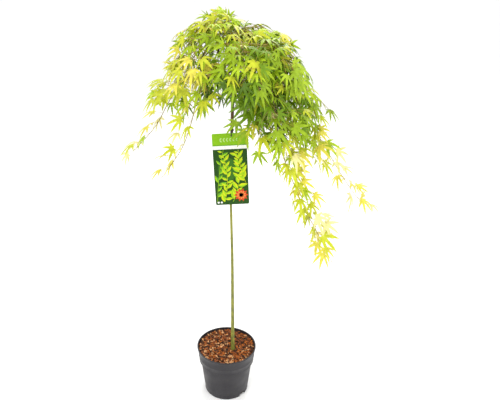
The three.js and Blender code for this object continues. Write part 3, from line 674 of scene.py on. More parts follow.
twigPlan = {
    "firstSeed": 101,
    "stemRadius": 1.7,
    "tipRadius": 0.7,
    "stemSides": 7,
    "stemStep": 5,
    "stemEnd": 0.985,             # where a stem's last leaf stands
    "shootRadius": 0.9,
    "shootTipRadius": 0.45,
    "shootSides": 5,
    "shootStep": 6,
    "shootEnd": 0.98,
    "finerSwell": 1.3,
    "nodes": 21,                  # the runs between shoots, near the fork and past fullRun
    "tailNodes": 30,
    "nodeJitter": (0.85, 1.15),
    "fullRun": 190,
    "firstNode": 12,
    "bareTip": 8,
    "rise": -0.3,
    "baseRise": 0.45,             # shoots near the fork lift before they hang
    "risingRun": 110,
    "leafRise": -0.02,
    "baseLeafRise": 0.15,         # near the fork the leaves lie flatter
    "reach": (0.3, 0.7),          # a shoot's share of the spread past fullRun, and what the fork's side adds
    "reachJitter": (0.6, 1.2),
    "ahead": 0.55,                # how far shoots turn along their stem
    "wander": 0.15,
    "knee": 0.55,
    "arch": 8,
    "inset": 12,                  # how far shoots stay under the crown's skin
    "shortShoot": 24,
    "longShoot": 45,
    "longPairs": (0.8, 0.48),     # where a shoot's leaf pairs stand
    "shortPairs": (0.62,),
    "pairAhead": 0.5,
    "forkingShoot": 40,           # shoots longer than this have a finer pair
    "forkShare": 0.6,
    "forkAhead": 0.7,
    "forkWander": 0.2,
    "finerLength": 0.5,
    "finerLeaf": 0.92,
    "tries": 6,
    "over": 0,                    # how far leaves may pass the crown's skin
    "ease": 6,                    # how far the finest growth may pass the plain masses
    "lean": 0.2,                  # how much leaves turn outward, near the fork
    "farLean": 0.8,               # and how much more on a whip
    "farRun": 230,
    "farStart": 0.3,
    "apart": 26,                  # between leaves' middles
}
leafPlan = {
    "lobe": 52,
    "tailLobe": 50,
    "size": (0.58, 1.08),
    "farSize": 0.2,               # the smallest leaves are this much larger on a whip
    "middle": 0.3,                # where a leaf's middle lies, as a share of its size
    "fewLobesBelow": 36,
    "room": 1.07,                 # scales the gaps between leaves' middles
    "stalk": (12, 34),
    "stalkRadius": 0.42,
    "stalkTaper": 0.8,
    "stalkArch": 0.08,
    "tries": 16,
    "wander": (0.3, 0.03),        # how far leaves turn from their place, and how much more at each try
    "light": (0, -0.35, 0.95),    # the way their faces turn
    "faceOut": 0.3,
    "faceWander": 0.9,
    "edgeLean": 0.6,              # how much further they turn outward and up at the crown's shoulder
    "edgeRise": 0.1,
    "tips": ((-90, 0.66), (-45, 0.9), (45, 0.9), (90, 0.66)),   # the lobes that have to stay in the crown
    "tipSag": 0.16,
    "droop": 0.2,
    "hang": 0.28,
    "fold": 0.3,
    "sinus": 0.26,
    "shortSinus": 0.55,           # a short lobe parts at this share of its length
    "neck": 0.6,
    "neckFall": 5,                # how fast a lobe's neck gives way to its blade
    "blade": 0.385,
    "bladeRise": 0.85,
    "bladeFall": 1.3,
    "tooth": 0.13,
    "teeth": (0.1, 0.2, 0.3, 0.4, 0.5, 0.6, 0.7, 0.8, 0.9, 1),
    "lobes": [(-112, 0.28), (-74, 0.64), (-37, 0.92), (0, 1.0), (37, 0.92), (74, 0.64), (112, 0.28)],
    "fewLobes": [(-84, 0.6), (-42, 0.92), (0, 1.0), (42, 0.92), (84, 0.6)],
    "lobeTurn": 5,
    "lobeLength": (0.9, 1.08),
    "outerTurn": 20,              # how far the last lobes' outer sides turn back
    "slim": 0.12,                 # how much narrower the lobes are on a whip's end
}
tintColours = {
    "deep": (0.074, 0.148, 0.003),
    "green": (0.152, 0.272, 0.004),
    "mid": (0.27, 0.405, 0.006),
    "lime": (0.395, 0.55, 0.014),
    "yellow": (0.53, 0.575, 0.022),
    "gold": (0.71, 0.64, 0.07),
    "pale": (0.83, 0.76, 0.31),
}
tintOrder = list(tintColours)
tintPlan = {
    "middle": 2.0,                # the tint a spray has at the crown's heart, counted along tintOrder
    "left": 0.85,                 # lighter towards -X
    "leftReach": 130,
    "leftLeast": -0.4,
    "high": 1.25,                 # lighter towards the top: partly the leaves' own paler tint, partly painted sheen
    "highMiddle": 1090,
    "highReach": 90,
    "whip": 4.85,                 # the tint at a whip's end
    "goldFrom": 3.0,              # sprays darker than this have no gold or pale leaf
    "outer": 0.7,                 # painted shade: lighter away from the stem, darker within the crown
    "paintedShadeReach": 50,
    "paintedShadeRise": 0.6,
    "tip": 0.4,                   # lighter at a shoot's tip
    "spread": 0.55,               # from spray to spray
    "leafSpread": 0.75,           # and from leaf to leaf
}
stemLooks = {                     # material, roughness, dark and light colour, grain, relief and its grain
    "leaf_stalks": ("leaf stalks", 0.5, (0.32, 0.15, 0.03), (0.52, 0.34, 0.07), 60, 0, 1),
    "whip_twigs": ("twigs", 0.55, (0.26, 0.20, 0.07), (0.42, 0.35, 0.14), 80, 0.2, 600),
    "young_shoots": ("young shoots", 0.5, (0.28, 0.17, 0.06), (0.46, 0.33, 0.11), 70, 0.15, 600),
}


def clamp(value, low, high):
    return max(low, min(high, value))


# One leaf: slender toothed lobes that part at the sinus, each folded along its rib and drooping
def leafShape(hub, ahead, face, size, lobes, slim, chance):
    p = leafPlan
    side = np.cross(face, ahead)
    angles = [math.radians(angle + chance.uniform(-p["lobeTurn"], p["lobeTurn"])) for angle, _ in lobes]
    lengths = [length * chance.uniform(*p["lobeLength"]) for _, length in lobes]
    outer = math.radians(p["outerTurn"])
    verts, faces = [], []
    for i, (angle, length) in enumerate(zip(angles, lengths)):
        before = (angle - angles[i - 1]) / 2 if i else outer
        after = (angles[i + 1] - angle) / 2 if i + 1 < len(angles) else outer
        ray = np.array([math.cos(angle), math.sin(angle)])
        cross = np.array([-ray[1], ray[0]])
        inner = min(p["sinus"], length * p["shortSinus"])
        start = len(verts)
        runs = [0, inner * p["neck"], inner] + [inner + (length - inner) * x for x in p["teeth"]]
        for k, run in enumerate(runs):
            widths = []
            for gap in (-before, after):
                if run <= inner:
                    widths.append(run * math.tan(gap))
                    continue
                x = (run - inner) / (length - inner)
                tooth = 1 + (p["tooth"] if k % 2 else -p["tooth"])
                neck = inner * math.tan(abs(gap)) * (1 - x) ** p["neckFall"]
                blade = p["blade"] * slim * length * x ** p["bladeRise"] * (1 - x) ** p["bladeFall"] * tooth
                widths.append(math.copysign(neck + blade, gap))
            for offset in (widths[0], 0, widths[1]):
                flat = ray * run + cross * offset
                far = flat @ flat
                lift = p["fold"] * abs(offset) - p["droop"] * far
                point = ahead * flat[0] + side * flat[1] + face * lift
                verts.append(hub + size * (point - up * p["hang"] * far))
        for k in range(len(runs) - 1):
            a, b = start + 3 * k, start + 3 * (k + 1)
            if k == 0:
                faces += [(a + 1, b + 1, b), (a + 1, b + 2, b + 1)]
            elif k == len(runs) - 2:
                faces += [(a, a + 1, b + 1), (a + 1, a + 2, b + 1)]
            else:
                faces += [(a, a + 1, b + 1, b), (a + 1, a + 2, b + 2, b + 1)]
    return verts, faces


class Crown:                      # what has grown so far, by kind
    def __init__(self, limbs):
        self.leaves = {tint: Pile() for tint in tintColours}
        self.stems = {kind: Pile() for kind in stemLooks}
        self.centres = []
        axes = [route.line for route, _, _ in limbs.values()]
        self.limbPoints = np.vstack(axes + [trunkLine[trunkLine[:, 2] > crownSpace["trunkFrom"]]])
        self.boxes = [[np.array(corner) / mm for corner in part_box(node)] for node in foliageNodes]

    def skin(self, points):       # the dome's height over each point, and how far out the point is
        p = crownSpace
        across = points[:, 0] - p["axis"][0]
        reach = np.hypot(across, points[:, 1] - p["axis"][1])
        steps, left, right = zip(*p["dome"])
        turn = 0.5 + 0.5 * across / np.maximum(reach, 1)
        return np.interp(reach, steps, left) * (1 - turn) + np.interp(reach, steps, right) * turn, reach

    def edge(self, point):        # 1 where a point is at the crown's shoulder, 0 deep inside
        p = crownSpace
        height, reach = self.skin(np.array([point]))
        near = clamp(1 - (height[0] - point[2]) / p["shoulderDepth"], 0, 1)
        return near * min(1, reach[0] / p["shoulderReach"]) ** 2

    def holds(self, points, slack, ease):   # in the masses' reach, under the dome and over the open sky
        p = crownSpace
        inside = np.zeros(len(points), bool)
        for low, high in self.boxes:
            inside |= ((points > low - ease) & (points < high + ease)).all(axis=1)
        skin, _ = self.skin(points)
        under = np.interp(points[:, 0], *zip(*p["under"])) - p["underTilt"] * points[:, 1]
        hanging = ease < p["freeEase"] and (points[:, 2] < under - slack).any()
        return inside.all() and (points[:, 2] < skin + slack).all() and not hanging

    def clearOfLimbs(self, points):
        gaps = np.linalg.norm(self.limbPoints[None, :, :] - points[:, None, :], axis=2)
        return gaps.min() > crownSpace["clearance"]

    def clearOfLeaves(self, centre, least):
        if not self.centres:
            return True
        return (np.linalg.norm(np.array(self.centres) - centre, axis=1) > least).all()


class Mass:                       # one mass: a stem, its shoots, their side twigs, and leaves on all of them
    def __init__(self, crown, spec, route, heading, seed):
        self.crown = crown
        self.chance = random.Random(seed)
        self.spec = {**twigPlan, **spec}
        self.route = route
        self.out = outward(heading)

    def scatter(self):
        return np.array([self.chance.uniform(-1, 1) for _ in range(3)])

    def dealTint(self, root, far):
        p = tintPlan
        tone = p["middle"] + self.spec.get("lighter", 0)
        tone += p["left"] * clamp((fork[0] - root[0]) / p["leftReach"], p["leftLeast"], 1)
        # lighter high in the crown: partly the leaves' own tint, partly painted sheen
        tone += p["high"] * clamp((root[2] - p["highMiddle"]) / p["highReach"], -1, 1)
        return tone + (p["whip"] - tone) * far + self.chance.gauss(0, p["spread"])

    def leafTint(self, centre, tone):   # painted shade: lighter on the crown's outside, darker near the stem within; now and then a step off its spray's tint
        outer = (centre - self.heart).dot(self.out + tintPlan["paintedShadeRise"] * up) / tintPlan["paintedShadeReach"]
        shade = tintPlan["outer"] * clamp(outer, -1, 1)
        step = round(tone + shade + self.chance.gauss(0, tintPlan["leafSpread"]))
        if tone < tintPlan["goldFrom"]:
            step = min(step, tintOrder.index("yellow"))
        return tintOrder[clamp(step, 0, len(tintOrder) - 1)]

    def addLeaf(self, root, aim, lobe, tone):
        p = leafPlan
        edge = self.crown.edge(root)
        lean = (self.lean + p["edgeLean"] * edge) * self.out + (self.leafRise + p["edgeRise"] * edge) * up
        least, most = p["size"]
        for i in range(p["tries"]):
            heading = unit(aim + lean + (p["wander"][0] + p["wander"][1] * i) * self.scatter())
            face = np.array(p["light"]) + p["faceOut"] * self.out + p["faceWander"] * self.scatter()
            face = unit(face - face.dot(heading) * heading)
            size = lobe * self.chance.uniform(least + p["farSize"] * self.far, most)
            reach = self.chance.uniform(*p["stalk"])
            hub = root + heading * reach
            centre = hub + heading * size * p["middle"]
            if not self.crown.clearOfLeaves(centre, p["room"] * self.spec["apart"] * size / lobe):
                continue
            side = np.cross(face, heading)
            tips = [hub, hub + heading * size]
            for turn, share in p["tips"]:
                ray = math.cos(math.radians(turn)) * heading + math.sin(math.radians(turn)) * side
                tips.append(hub + ray * size * share - up * size * p["tipSag"])
            tips = np.array(tips)
            slack = self.chance.uniform(0, crownSpace["raggedness"]) + self.spec["over"]
            slack += crownSpace["shoulderSlack"] * edge
            if not self.crown.holds(tips, slack, self.spec["ease"]) or not self.crown.clearOfLimbs(tips[1:]):
                continue
            lobes = p["lobes"] if size > p["fewLobesBelow"] else p["fewLobes"]
            verts, faces = leafShape(hub, heading, face, size, lobes, 1 - p["slim"] * self.far, self.chance)
            self.crown.leaves[self.leafTint(centre, tone)].add(verts, faces)
            stalk = Route(bentLine(root, (root + hub) / 2 + up * reach * p["stalkArch"], hub, 4))
            thin = p["stalkRadius"] * p["stalkTaper"]
            self.crown.stems["leaf_stalks"].add(*tube(stalk, p["stalkRadius"], thin, 4, 3))
            self.crown.centres.append(centre)
            return

    def addPair(self, route, share, lobe, tone):
        along = route.along(share)
        aside = np.cross(along, up)
        aside = unit(aside) if np.linalg.norm(aside) > 0.05 else self.out
        for hand in (-1, 1):
            self.addLeaf(route.at(share), unit(aside * hand + twigPlan["pairAhead"] * along), lobe, tone)

    def addShoot(self, root, aim, length, lobe, tone, rise, finer):
        p = twigPlan
        for i in range(p["tries"]):
            ahead = unit(aim + (self.lean - p["lean"]) * self.out + p["wander"] * i * self.scatter())
            end = root + ahead * length + up * rise * length
            knee = root + ahead * length * p["knee"] + up * max(0, rise) * p["arch"]
            route = Route(bentLine(root, knee, end, 10))
            held = self.crown.holds(route.line[3:], self.spec["over"] - p["inset"], self.spec["ease"])
            if not held or not self.crown.clearOfLimbs(route.line[4:]):
                continue
            startRadius = p["shootRadius"] if finer else p["shootTipRadius"] * p["finerSwell"]
            steps = max(4, int(length / p["shootStep"]))
            shoot = tube(route, startRadius, p["shootTipRadius"], p["shootSides"], steps)
            self.crown.stems["young_shoots"].add(*shoot)
            self.addLeaf(route.at(p["shootEnd"]), route.along(1), lobe, tone + tintPlan["tip"])
            for share in p["longPairs"] if length > p["longShoot"] else p["shortPairs"]:
                self.addPair(route, share, lobe, tone)
            if finer and length > p["forkingShoot"]:
                root, along = route.at(p["forkShare"]), route.along(p["forkShare"])
                aside = unit(np.cross(along, up) + p["forkWander"] * self.scatter())
                shorter, smaller = length * p["finerLength"], lobe * p["finerLeaf"]
                for hand in (-1, 1):
                    aim = unit(aside * hand + p["forkAhead"] * along)
                    self.addShoot(root, aim, shorter, smaller, tone, rise, False)
            return True
        return False

    def grow(self):
        spec, route, length = self.spec, self.route, self.route.length
        steps = int(length / spec["stemStep"])
        stem = tube(route, spec["stemRadius"], spec["tipRadius"], spec["stemSides"], steps)
        self.crown.stems["whip_twigs"].add(*stem)
        level, run = 0, spec["firstNode"]
        while run < length - spec["bareTip"]:
            share = run / length
            along = route.along(share)
            flat = unit(np.cross(along, up))
            aside = unit(np.cross(flat, along)) if level % 2 else flat
            full = max(0, 1 - run / spec["fullRun"])
            early = max(0, 1 - run / spec["risingRun"])
            rise = spec["rise"] + (spec["baseRise"] - spec["rise"]) * early
            self.far = clamp(run / spec["farRun"] - spec["farStart"], 0, 1)
            self.lean = spec["lean"] + spec["farLean"] * self.far
            self.leafRise = spec["leafRise"] + max(0, spec["baseLeafRise"] - spec["leafRise"]) * early
            self.heart = route.at(share)
            large, small = leafPlan["lobe"], leafPlan["tailLobe"]
            lobe = small + (large - small) * min(1, 1.6 * full + 0.1)
            tone = self.dealTint(self.heart, self.far)
            for hand in (-1, 1):
                away = unit(aside * hand + spec["ahead"] * along)
                reach = spec["spread"] * (spec["reach"][0] + spec["reach"][1] * full)
                reach *= self.chance.uniform(*spec["reachJitter"])
                if full == 0 and (level + (hand > 0)) % 3:
                    reach = 0
                shooting = reach > spec["shortShoot"]
                if not shooting or not self.addShoot(self.heart, away, reach, lobe, tone, rise, full > 0):
                    self.addLeaf(self.heart, away, lobe, tone)
            level += 1
            spacing = spec["nodes"] if full > 0 else spec["tailNodes"]
            run += spacing * self.chance.uniform(*spec["nodeJitter"])
        tone = self.dealTint(route.at(1), self.far)
        self.addLeaf(route.at(spec["stemEnd"]), route.along(1), leafPlan["tailLobe"], tone)


# Each mass or shoot as its bough, its spec, its heading and how much its stem lifts as it leaves the bough
def growthPlan():
    def shoots(group):
        return [(bough, {**spec, "stations": stations}, heading, 0.6 if spec["over"] else 0)
                for bough, spec, heading, stations in group]

    growth = [(f"bough_{name}", top["mass"], top["heading"], 0) for name, top in crownTops.items()]
    growth += shoots(crownShoots)
    for name, side in crownSides.items():
        heading = sum(side["wedge"]) / 2
        growth.append((f"bough_{name}", side["upper"], heading, 1 if side["lowBough"] else 0.5))
        if side["lowBough"]:
            lower = {"risingRun": 1, **side["lower"]}
            growth.append((f"bough_{name}_low", lower, lower.get("heading", heading), 0))
    return growth + shoots(lastShoots)


leafLook = {
    "roughness": 0.4,
    "gloss": 0.22,
    "dark": 0.8,                  # the patches, as shares of the leaf's own colour
    "light": 1.12,
    "lift": 0.008,
    "patches": (90, 3),           # scale and detail
    "veins": (700, 4),
    "relief": (0.2, 0.0003),
}


def leafMaterial(tint, colour):
    p = leafLook
    dark = tuple(p["dark"] * c for c in colour)
    light = tuple(min(1, p["light"] * c + p["lift"]) for c in colour)
    material, tree, shader = newMaterial(f"leaf {tint}", p["roughness"], colour)
    fill(tree, shader, {"Specular IOR Level": p["gloss"]})
    colourBy(tree, shader, speckle(tree, *p["patches"]), [(0.3, dark), (0.7, light)])
    addBump(tree, shader, speckle(tree, *p["veins"]), *p["relief"])
    return material


def makeFoliage(limbs):
    crown = Crown(limbs)
    for seed, (bough, spec, heading, lift) in enumerate(growthPlan(), twigPlan["firstSeed"]):
        Mass(crown, spec, stemRoute(limbs[bough][0], spec["stations"], lift), heading, seed).grow()
    for tint, pile in crown.leaves.items():
        pile.piece(f"leaves_{tint}", leafMaterial(tint, tintColours[tint]), "foliage", foliageNodes)
    for kind, look in stemLooks.items():
        crown.stems[kind].piece(kind, mottled(*look), "foliage", foliageNodes)
    print("leaves: ", len(crown.centres), {tint: len(pile.faces) for tint, pile in crown.leaves.items()})


# Pot, soil and bark chips

potPlan = {
    "segments": 160,
    "wall": 2.2,
    "rimWall": 3.2,
    "floor": 3,
    "bandFoot": 113,
    "bandRadius": 88,
    "bodyTop": 83.2,
    "footRadius": 71,
    "footHeight": 17,
    "lipHeight": 4,
    "groove": [(131, 0), (132, 0.35), (133.2, 0.35), (134.2, 0), (150, 0)],   # heights, and how proud
    "notchWidth": 25,
    "notchHeight": 11,
    "notchDepth": 14,
    "notchHeadings": (-43, 137),
    "sharpAngle": 32,
    "dark": (0.0114, 0.0099, 0.0126),
    "light": (0.0206, 0.0182, 0.0234),
    "dull": (0.40, 0.58),         # the plastic's roughness, from patch to patch
}


def potProfile():                 # radii and heights, up the outside and down the inside
    p = potPlan
    rim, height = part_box("pot")[1].x / mm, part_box("pot")[1].z / mm
    foot, ledge, body, wall = p["footRadius"], p["footHeight"], p["bodyTop"], p["wall"]
    band, proud, lip = p["bandFoot"], p["bandRadius"], height - p["lipHeight"]
    profile = [
        (0, 0), (40, 0), (foot - 1.8, 0), (foot - 0.7, 0.35), (foot - 0.2, 1.4), (foot, ledge - 0.6),
        (foot + 0.15, ledge), (foot + 0.9, ledge + 0.7), (foot + 1.2, ledge + 1.6)]
    for share in (0.25, 0.5, 0.75, 0.95):
        rise = (band - ledge - 3) * share
        profile.append((foot + 1.2 + (body - foot - 1.2) * share, ledge + 1.6 + rise))
    profile += [
        (body - 0.7, band - 3.6), (body - 0.7, band - 1.2), (body + 0.3, band - 0.35),
        (body + 1, band - 0.05), (proud - 1, band), (proud + 0.2, band + 0.5),
        (proud + 0.6, band + 1.3), (proud + 0.6, band + 2.2), (proud + 0.1, band + 3.1)]
    for level, swell in p["groove"]:
        share = (level - band) / (lip - 2 - band)
        profile.append((proud + (rim - 1.4 - proud) * share + swell, level))
    return profile + [
        (rim - 1.4, lip - 2), (rim - 1.0, lip - 1.2), (rim - 0.2, lip - 0.3), (rim, lip + 0.6),
        (rim, height - 1.2), (rim - 0.3, height - 0.4), (rim - 1.1, height), (rim - 2.2, height),
        (rim - 3, height - 0.4), (rim - p["rimWall"], height - 1.4), (proud - wall + 0.3, band + 2),
        (body - wall - 0.2, band - wall), (foot - wall, p["floor"]), (0, p["floor"])]


def notchCutter(heading):
    p = potPlan
    width, height, depth = p["notchWidth"], p["notchHeight"], p["notchDepth"]
    outline = [(-width / 2, -2), (width / 2, -2)]
    for k in range(1, 16):
        turn = math.pi * k / 16
        outline.append((width / 2 * math.cos(turn), -0.2 + (height + 0.2) * math.sin(turn) ** 0.75))
    verts = []
    for reach in (p["footRadius"] - depth, p["footRadius"] + depth):
        verts += [(reach, across, z) for across, z in outline]
    spin = Matrix.Rotation(math.radians(heading), 3, "Z")
    return [tuple(spin @ Vector(v)) for v in verts], ringFaces(2, len(outline))


def cutWith(piece, cutters):
    for verts, faces in cutters:
        mesh = bpy.data.meshes.new("cutter")
        mesh.from_pydata([tuple(np.array(v) * mm) for v in verts], [], faces)
        cutter = newObject("cutter", mesh)
        shaper = bmesh.new()
        shaper.from_mesh(mesh)
        bmesh.ops.recalc_face_normals(shaper, faces=shaper.faces)
        shaper.to_mesh(mesh)
        shaper.free()
        modifier = piece.modifiers.new("cut", "BOOLEAN")
        modifier.operation = "DIFFERENCE"
        modifier.solver = "EXACT"
        modifier.object = cutter
        graph = bpy.context.evaluated_depsgraph_get()
        shaped = bpy.data.meshes.new_from_object(piece.evaluated_get(graph))
        piece.modifiers.clear()
        piece.data = shaped
        bpy.data.objects.remove(cutter)


def makePot():
    p = potPlan
    verts, faces = lathe(potProfile(), p["segments"])
    plastic, tree, shader = newMaterial("pot plastic", 0.5, p["light"])
    colourBy(tree, shader, speckle(tree, 420, 4), [(0.35, p["dark"]), (0.68, p["light"])])
    sheen, dull = ((share,) * 3 for share in p["dull"])
    wear = blendColours(tree, speckle(tree, 26, 4), [(0.35, sheen), (0.7, dull)])
    tree.links.new(wear, shader.inputs["Roughness"])
    addBump(tree, shader, speckle(tree, 1400, 3), 0.12, 0.0002)
    pot = makePiece("nursery_pot", verts, faces, plastic, ["pot"])
    cutWith(pot, [notchCutter(heading) for heading in p["notchHeadings"]])
    pot.data.polygons.foreach_set("use_smooth", [True] * len(pot.data.polygons))
    pot.data.set_sharp_from_angle(angle=math.radians(p["sharpAngle"]))
    print("pot: ", len(pot.data.polygons), "faces")


chipPlan = {
    "seed": 5,
    "count": 1050,
    "bedFoot": 146.6,
    "bedTop": 157.6,
    "bedInset": 0.4,
    "bedDrop": 1.4,
    "bedLump": 2.0,
    "bedGrain": 0.11,
    "bedRings": 22,
    "bedSides": 72,
    "wallGap": 0.7,               # how near the bed comes to the pot's inner wall
    "wallClear": 7,               # chips whose middle is nearer the wall than this are drawn in
    "length": (5.5, 13),
    "width": (3.4, 7),
    "thick": (0.8, 2.0),
    "rows": 4,
    "section": [(-0.5, -0.5), (0.5, -0.5), (0.5, 0.5), (0, 0.72), (-0.5, 0.5)],   # with a low ridge
    "bend": 0.12,
    "endWidth": 0.55,
    "taper": (0.8, 1.15),
    "jag": 0.1,
    "tumble": 24,                 # degrees
    "layers": 4.5,                # how high the last chips may lie
    "layerShare": (0.3, 1),
    "sunk": 0.6,
    "trunkClear": 9.5,
    # name, dark and light colour, and share of the chips
    "tints": [
        ("orange", (0.24, 0.055, 0.007), (0.46, 0.135, 0.017), 0.31),
        ("brown", (0.11, 0.028, 0.009), (0.25, 0.076, 0.023), 0.27),
        ("tan", (0.46, 0.22, 0.09), (0.70, 0.39, 0.18), 0.14),
        # near-black chips: partly the bark's own dark pieces, partly painted shade standing in for the gaps
        # between chips
        ("dark", (0.020, 0.008, 0.004), (0.060, 0.022, 0.009), 0.28),
    ],
}


def chipShape(centre, chance):    # a torn flake: a bent slab with uneven ends
    p = chipPlan
    length, width, thick = (chance.uniform(*p[key]) for key in ("length", "width", "thick"))
    rows, bend = p["rows"], chance.uniform(-p["bend"], p["bend"])
    turn = Matrix.Rotation(chance.uniform(0, 2 * math.pi), 3, "Z")
    tilt, roll = (Matrix.Rotation(math.radians(chance.gauss(0, p["tumble"])), 3, axis) for axis in "XY")
    spin = turn @ tilt @ roll
    verts = []
    for i in range(rows):
        x = length * (i / (rows - 1) - 0.5)
        torn = i in (0, rows - 1)
        taper = (p["endWidth"] if torn else 1) * chance.uniform(*p["taper"])
        for y, z in p["section"]:
            jag = chance.uniform(-p["jag"], p["jag"]) * length if torn else 0
            local = Vector((x + jag, y * width * taper, z * thick + bend * x * x * 0.25))
            verts.append(tuple(Vector(centre) + spin @ local))
    return verts, ringFaces(rows, len(p["section"]))


def makeFilling():
    soil = mottled("potting soil", 1.0, (0.018, 0.011, 0.008), (0.06, 0.036, 0.024), 240, 0.8, 500)
    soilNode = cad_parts["potting_soil"]
    soilNode.data.materials.clear()
    soilNode.data.materials.append(soil)
    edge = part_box("pot")[1].x / mm - potPlan["rimWall"] - chipPlan["wallGap"]
    makeBed(edge)
    scatterChips(edge)


def makeBed(edge):                # the lumpy bed that shows between the loose chips; its dark browns are partly painted shade for those gaps
    p = chipPlan
    verts = [(x, y, p["bedFoot"]) for x, y in ringPoints((0, 0), edge, edge, p["bedSides"])]
    for i in range(p["bedRings"]):
        radius = (edge - p["bedInset"]) * (1 - i / p["bedRings"])
        for x, y in ringPoints((0, 0), radius, radius, p["bedSides"]):
            lump = noise.noise(Vector((x * p["bedGrain"], y * p["bedGrain"], 4.0)))
            verts.append((x, y, p["bedTop"] - p["bedDrop"] + p["bedLump"] * lump))
    # dark browns: partly the mulch's own colour, partly painted shade in the gaps between chips
    look = mottled("bark bed", 0.95, (0.05, 0.022, 0.012), (0.19, 0.08, 0.035), 210, 0.8, 420)
    faces = ringFaces(p["bedRings"] + 1, p["bedSides"])
    makePiece("bark_bed", verts, faces, look, ["bark_mulch"])


def scatterChips(edge):
    p = chipPlan
    chance = random.Random(p["seed"])
    piles = [Pile() for _ in p["tints"]]
    shares = [tint[3] for tint in p["tints"]]
    foot = trunkCentre(p["bedTop"])
    placed = 0
    while placed < p["count"]:
        radius = (edge - 1) * math.sqrt(chance.random())
        turn = chance.uniform(0, 2 * math.pi)
        x, y = radius * math.cos(turn), radius * math.sin(turn)
        if math.hypot(x - foot[0], y - foot[1]) < p["trunkClear"]:
            continue
        drawn = min(1, edge / (radius + p["wallClear"]))
        z = p["bedTop"] - p["sunk"] + p["layers"] * (placed / p["count"]) * chance.uniform(*p["layerShare"])
        shape = chipShape((x * drawn, y * drawn, z), chance)
        piles[chance.choices(range(len(piles)), shares)[0]].add(*shape)
        placed += 1
    for (name, dark, light, _), pile in zip(p["tints"], piles):
        look = mottled(f"bark {name}", 0.85, dark, light, 150, 0.6, 700, 5)
        pile.piece(f"bark_chips_{name}", look, "bark_chips", ["bark_mulch"], smooth=False)
    print("bark chips: ", placed)


# Label and tie

labelPlan = {
    "width": 96,
    "height": 214,
    "corner": 4,
    "thickness": 0.8,
    "turn": 3,
    "centre": (12.3, 774),
    "front": -5.7,                # the card's front face, in y
    "hole": 2.6,
    "holeDrop": 8,
    "holeAside": 6,
    "headerHeight": 36,
    "stripeHeight": 3,            # the deeper stripe at the header's foot
    "bandHeight": 10,
    "ink": 0.06,                  # how far a printed layer stands off the one below
    "header": (0.24, 0.50, 0.012),
    "headerDeep": (0.15, 0.36, 0.012),
    "band": (0.93, 0.94, 0.91),
    "panel": (0.022, 0.075, 0.010),
    "panelGlow": (0.045, 0.15, 0.014),
    "limeLeaf": (0.33, 0.60, 0.012),
    "yellowLeaf": (0.60, 0.66, 0.015),
    "greenLeaf": (0.11, 0.34, 0.02),
    "rosette": (0.60, 0.07, 0.02),
    "rosetteLight": (0.85, 0.24, 0.06),
    # a sprig's foot on the card, its heading, bend per leaf pair, pairs, leaf length, spacing and ink
    "sprigs": [
        ((-43, -100), 86, -1.2, 9, 27, 18, "greenLeaf"),
        ((-24, -106), 74, 3.6, 10, 28, 17, "limeLeaf"),
        ((2, -98), 66, 4.6, 10, 27, 17, "yellowLeaf"),
        ((41, -42), 108, -3, 6, 25, 17, "limeLeaf"),
    ],
    "sprigShade": {"greenLeaf": "limeLeaf", "limeLeaf": "yellowLeaf", "yellowLeaf": "limeLeaf"},
    "stalkWidth": 1.1,
    "pairAngle": 48,
    "leafWidth": 0.4,             # a share of a leaf's length
    "leafTaper": 0.4,             # how much shorter the last pair is
    "unevenSize": (-0.25, 0.2),
    "unevenAngle": (-24, 20),
    "glow": ((-8, 2), 28, 34),    # the paler patch's middle and half sizes
    "headerSprig": ((-36, 88), 0, 0, 7, 9, 9),
    "headerPale": (0.55, 0.76, 0.28),
    "discs": [(-40, -99), (-31, -99)],
    "discRadius": 3,
    "rosetteCentre": (26, -78),
    "rosettePetal": 21,
    "petals": 10,
}


def roundedOutline(width, height, corner, steps=6):
    points = []
    for cx, cy, start in ((1, -1, -90), (1, 1, 0), (-1, 1, 90), (-1, -1, 180)):
        for k in range(steps + 1):
            turn = math.radians(start + 90 * k / steps)
            x = cx * (width / 2 - corner) + corner * math.cos(turn)
            points.append((x, cy * (height / 2 - corner) + corner * math.sin(turn)))
    return points


def shifted(origin, turn, u, v):  # from the origin, u along a turned axis and v across it
    cosine, sine = math.cos(turn), math.sin(turn)
    return origin[0] + u * cosine - v * sine, origin[1] + u * sine + v * cosine


def onCard(points, layer):        # card coordinates to the part's own, layer by layer towards the viewer
    turn = math.radians(labelPlan["turn"])
    y = labelPlan["front"] - layer * labelPlan["ink"]
    placed = [shifted(labelPlan["centre"], turn, u, v) for u, v in points]
    return [(x, y, z) for x, z in placed]


def printed(name, outlines, layer, material):   # thin printed shapes, each a fan from its own middle
    pile = Pile()
    for outline in outlines:
        middle = tuple(np.mean(outline, axis=0))
        verts = onCard([middle, *outline], layer)
        count = len(outline)
        pile.add(verts, [(0, 1 + (k + 1) % count, 1 + k) for k in range(count)][::-1])
    pile.piece(name, material, "label_print", smooth=False)


def ovateLeaf(root, heading, length, width, side=0):   # side -1 or 1 gives half of it, for the shaded half
    outline = []
    for hand in (1, -1):
        for t in np.linspace(0, 1, 10) if hand == 1 else np.linspace(1, 0, 10)[1:-1]:
            across = hand * width / 2 * math.sin(math.pi * t ** 0.8) if side in (0, hand) else 0
            outline.append(shifted(root, math.radians(heading), t * length, across))
    return outline


def stroke(start, end, width):    # a straight printed line
    along = unit(np.array(end) - np.array(start))
    across = np.array([-along[1], along[0]]) * width / 2
    return [tuple(np.array(point) + hand * across)
            for point, hand in ((start, -1), (end, -1), (end, 1), (start, 1))]


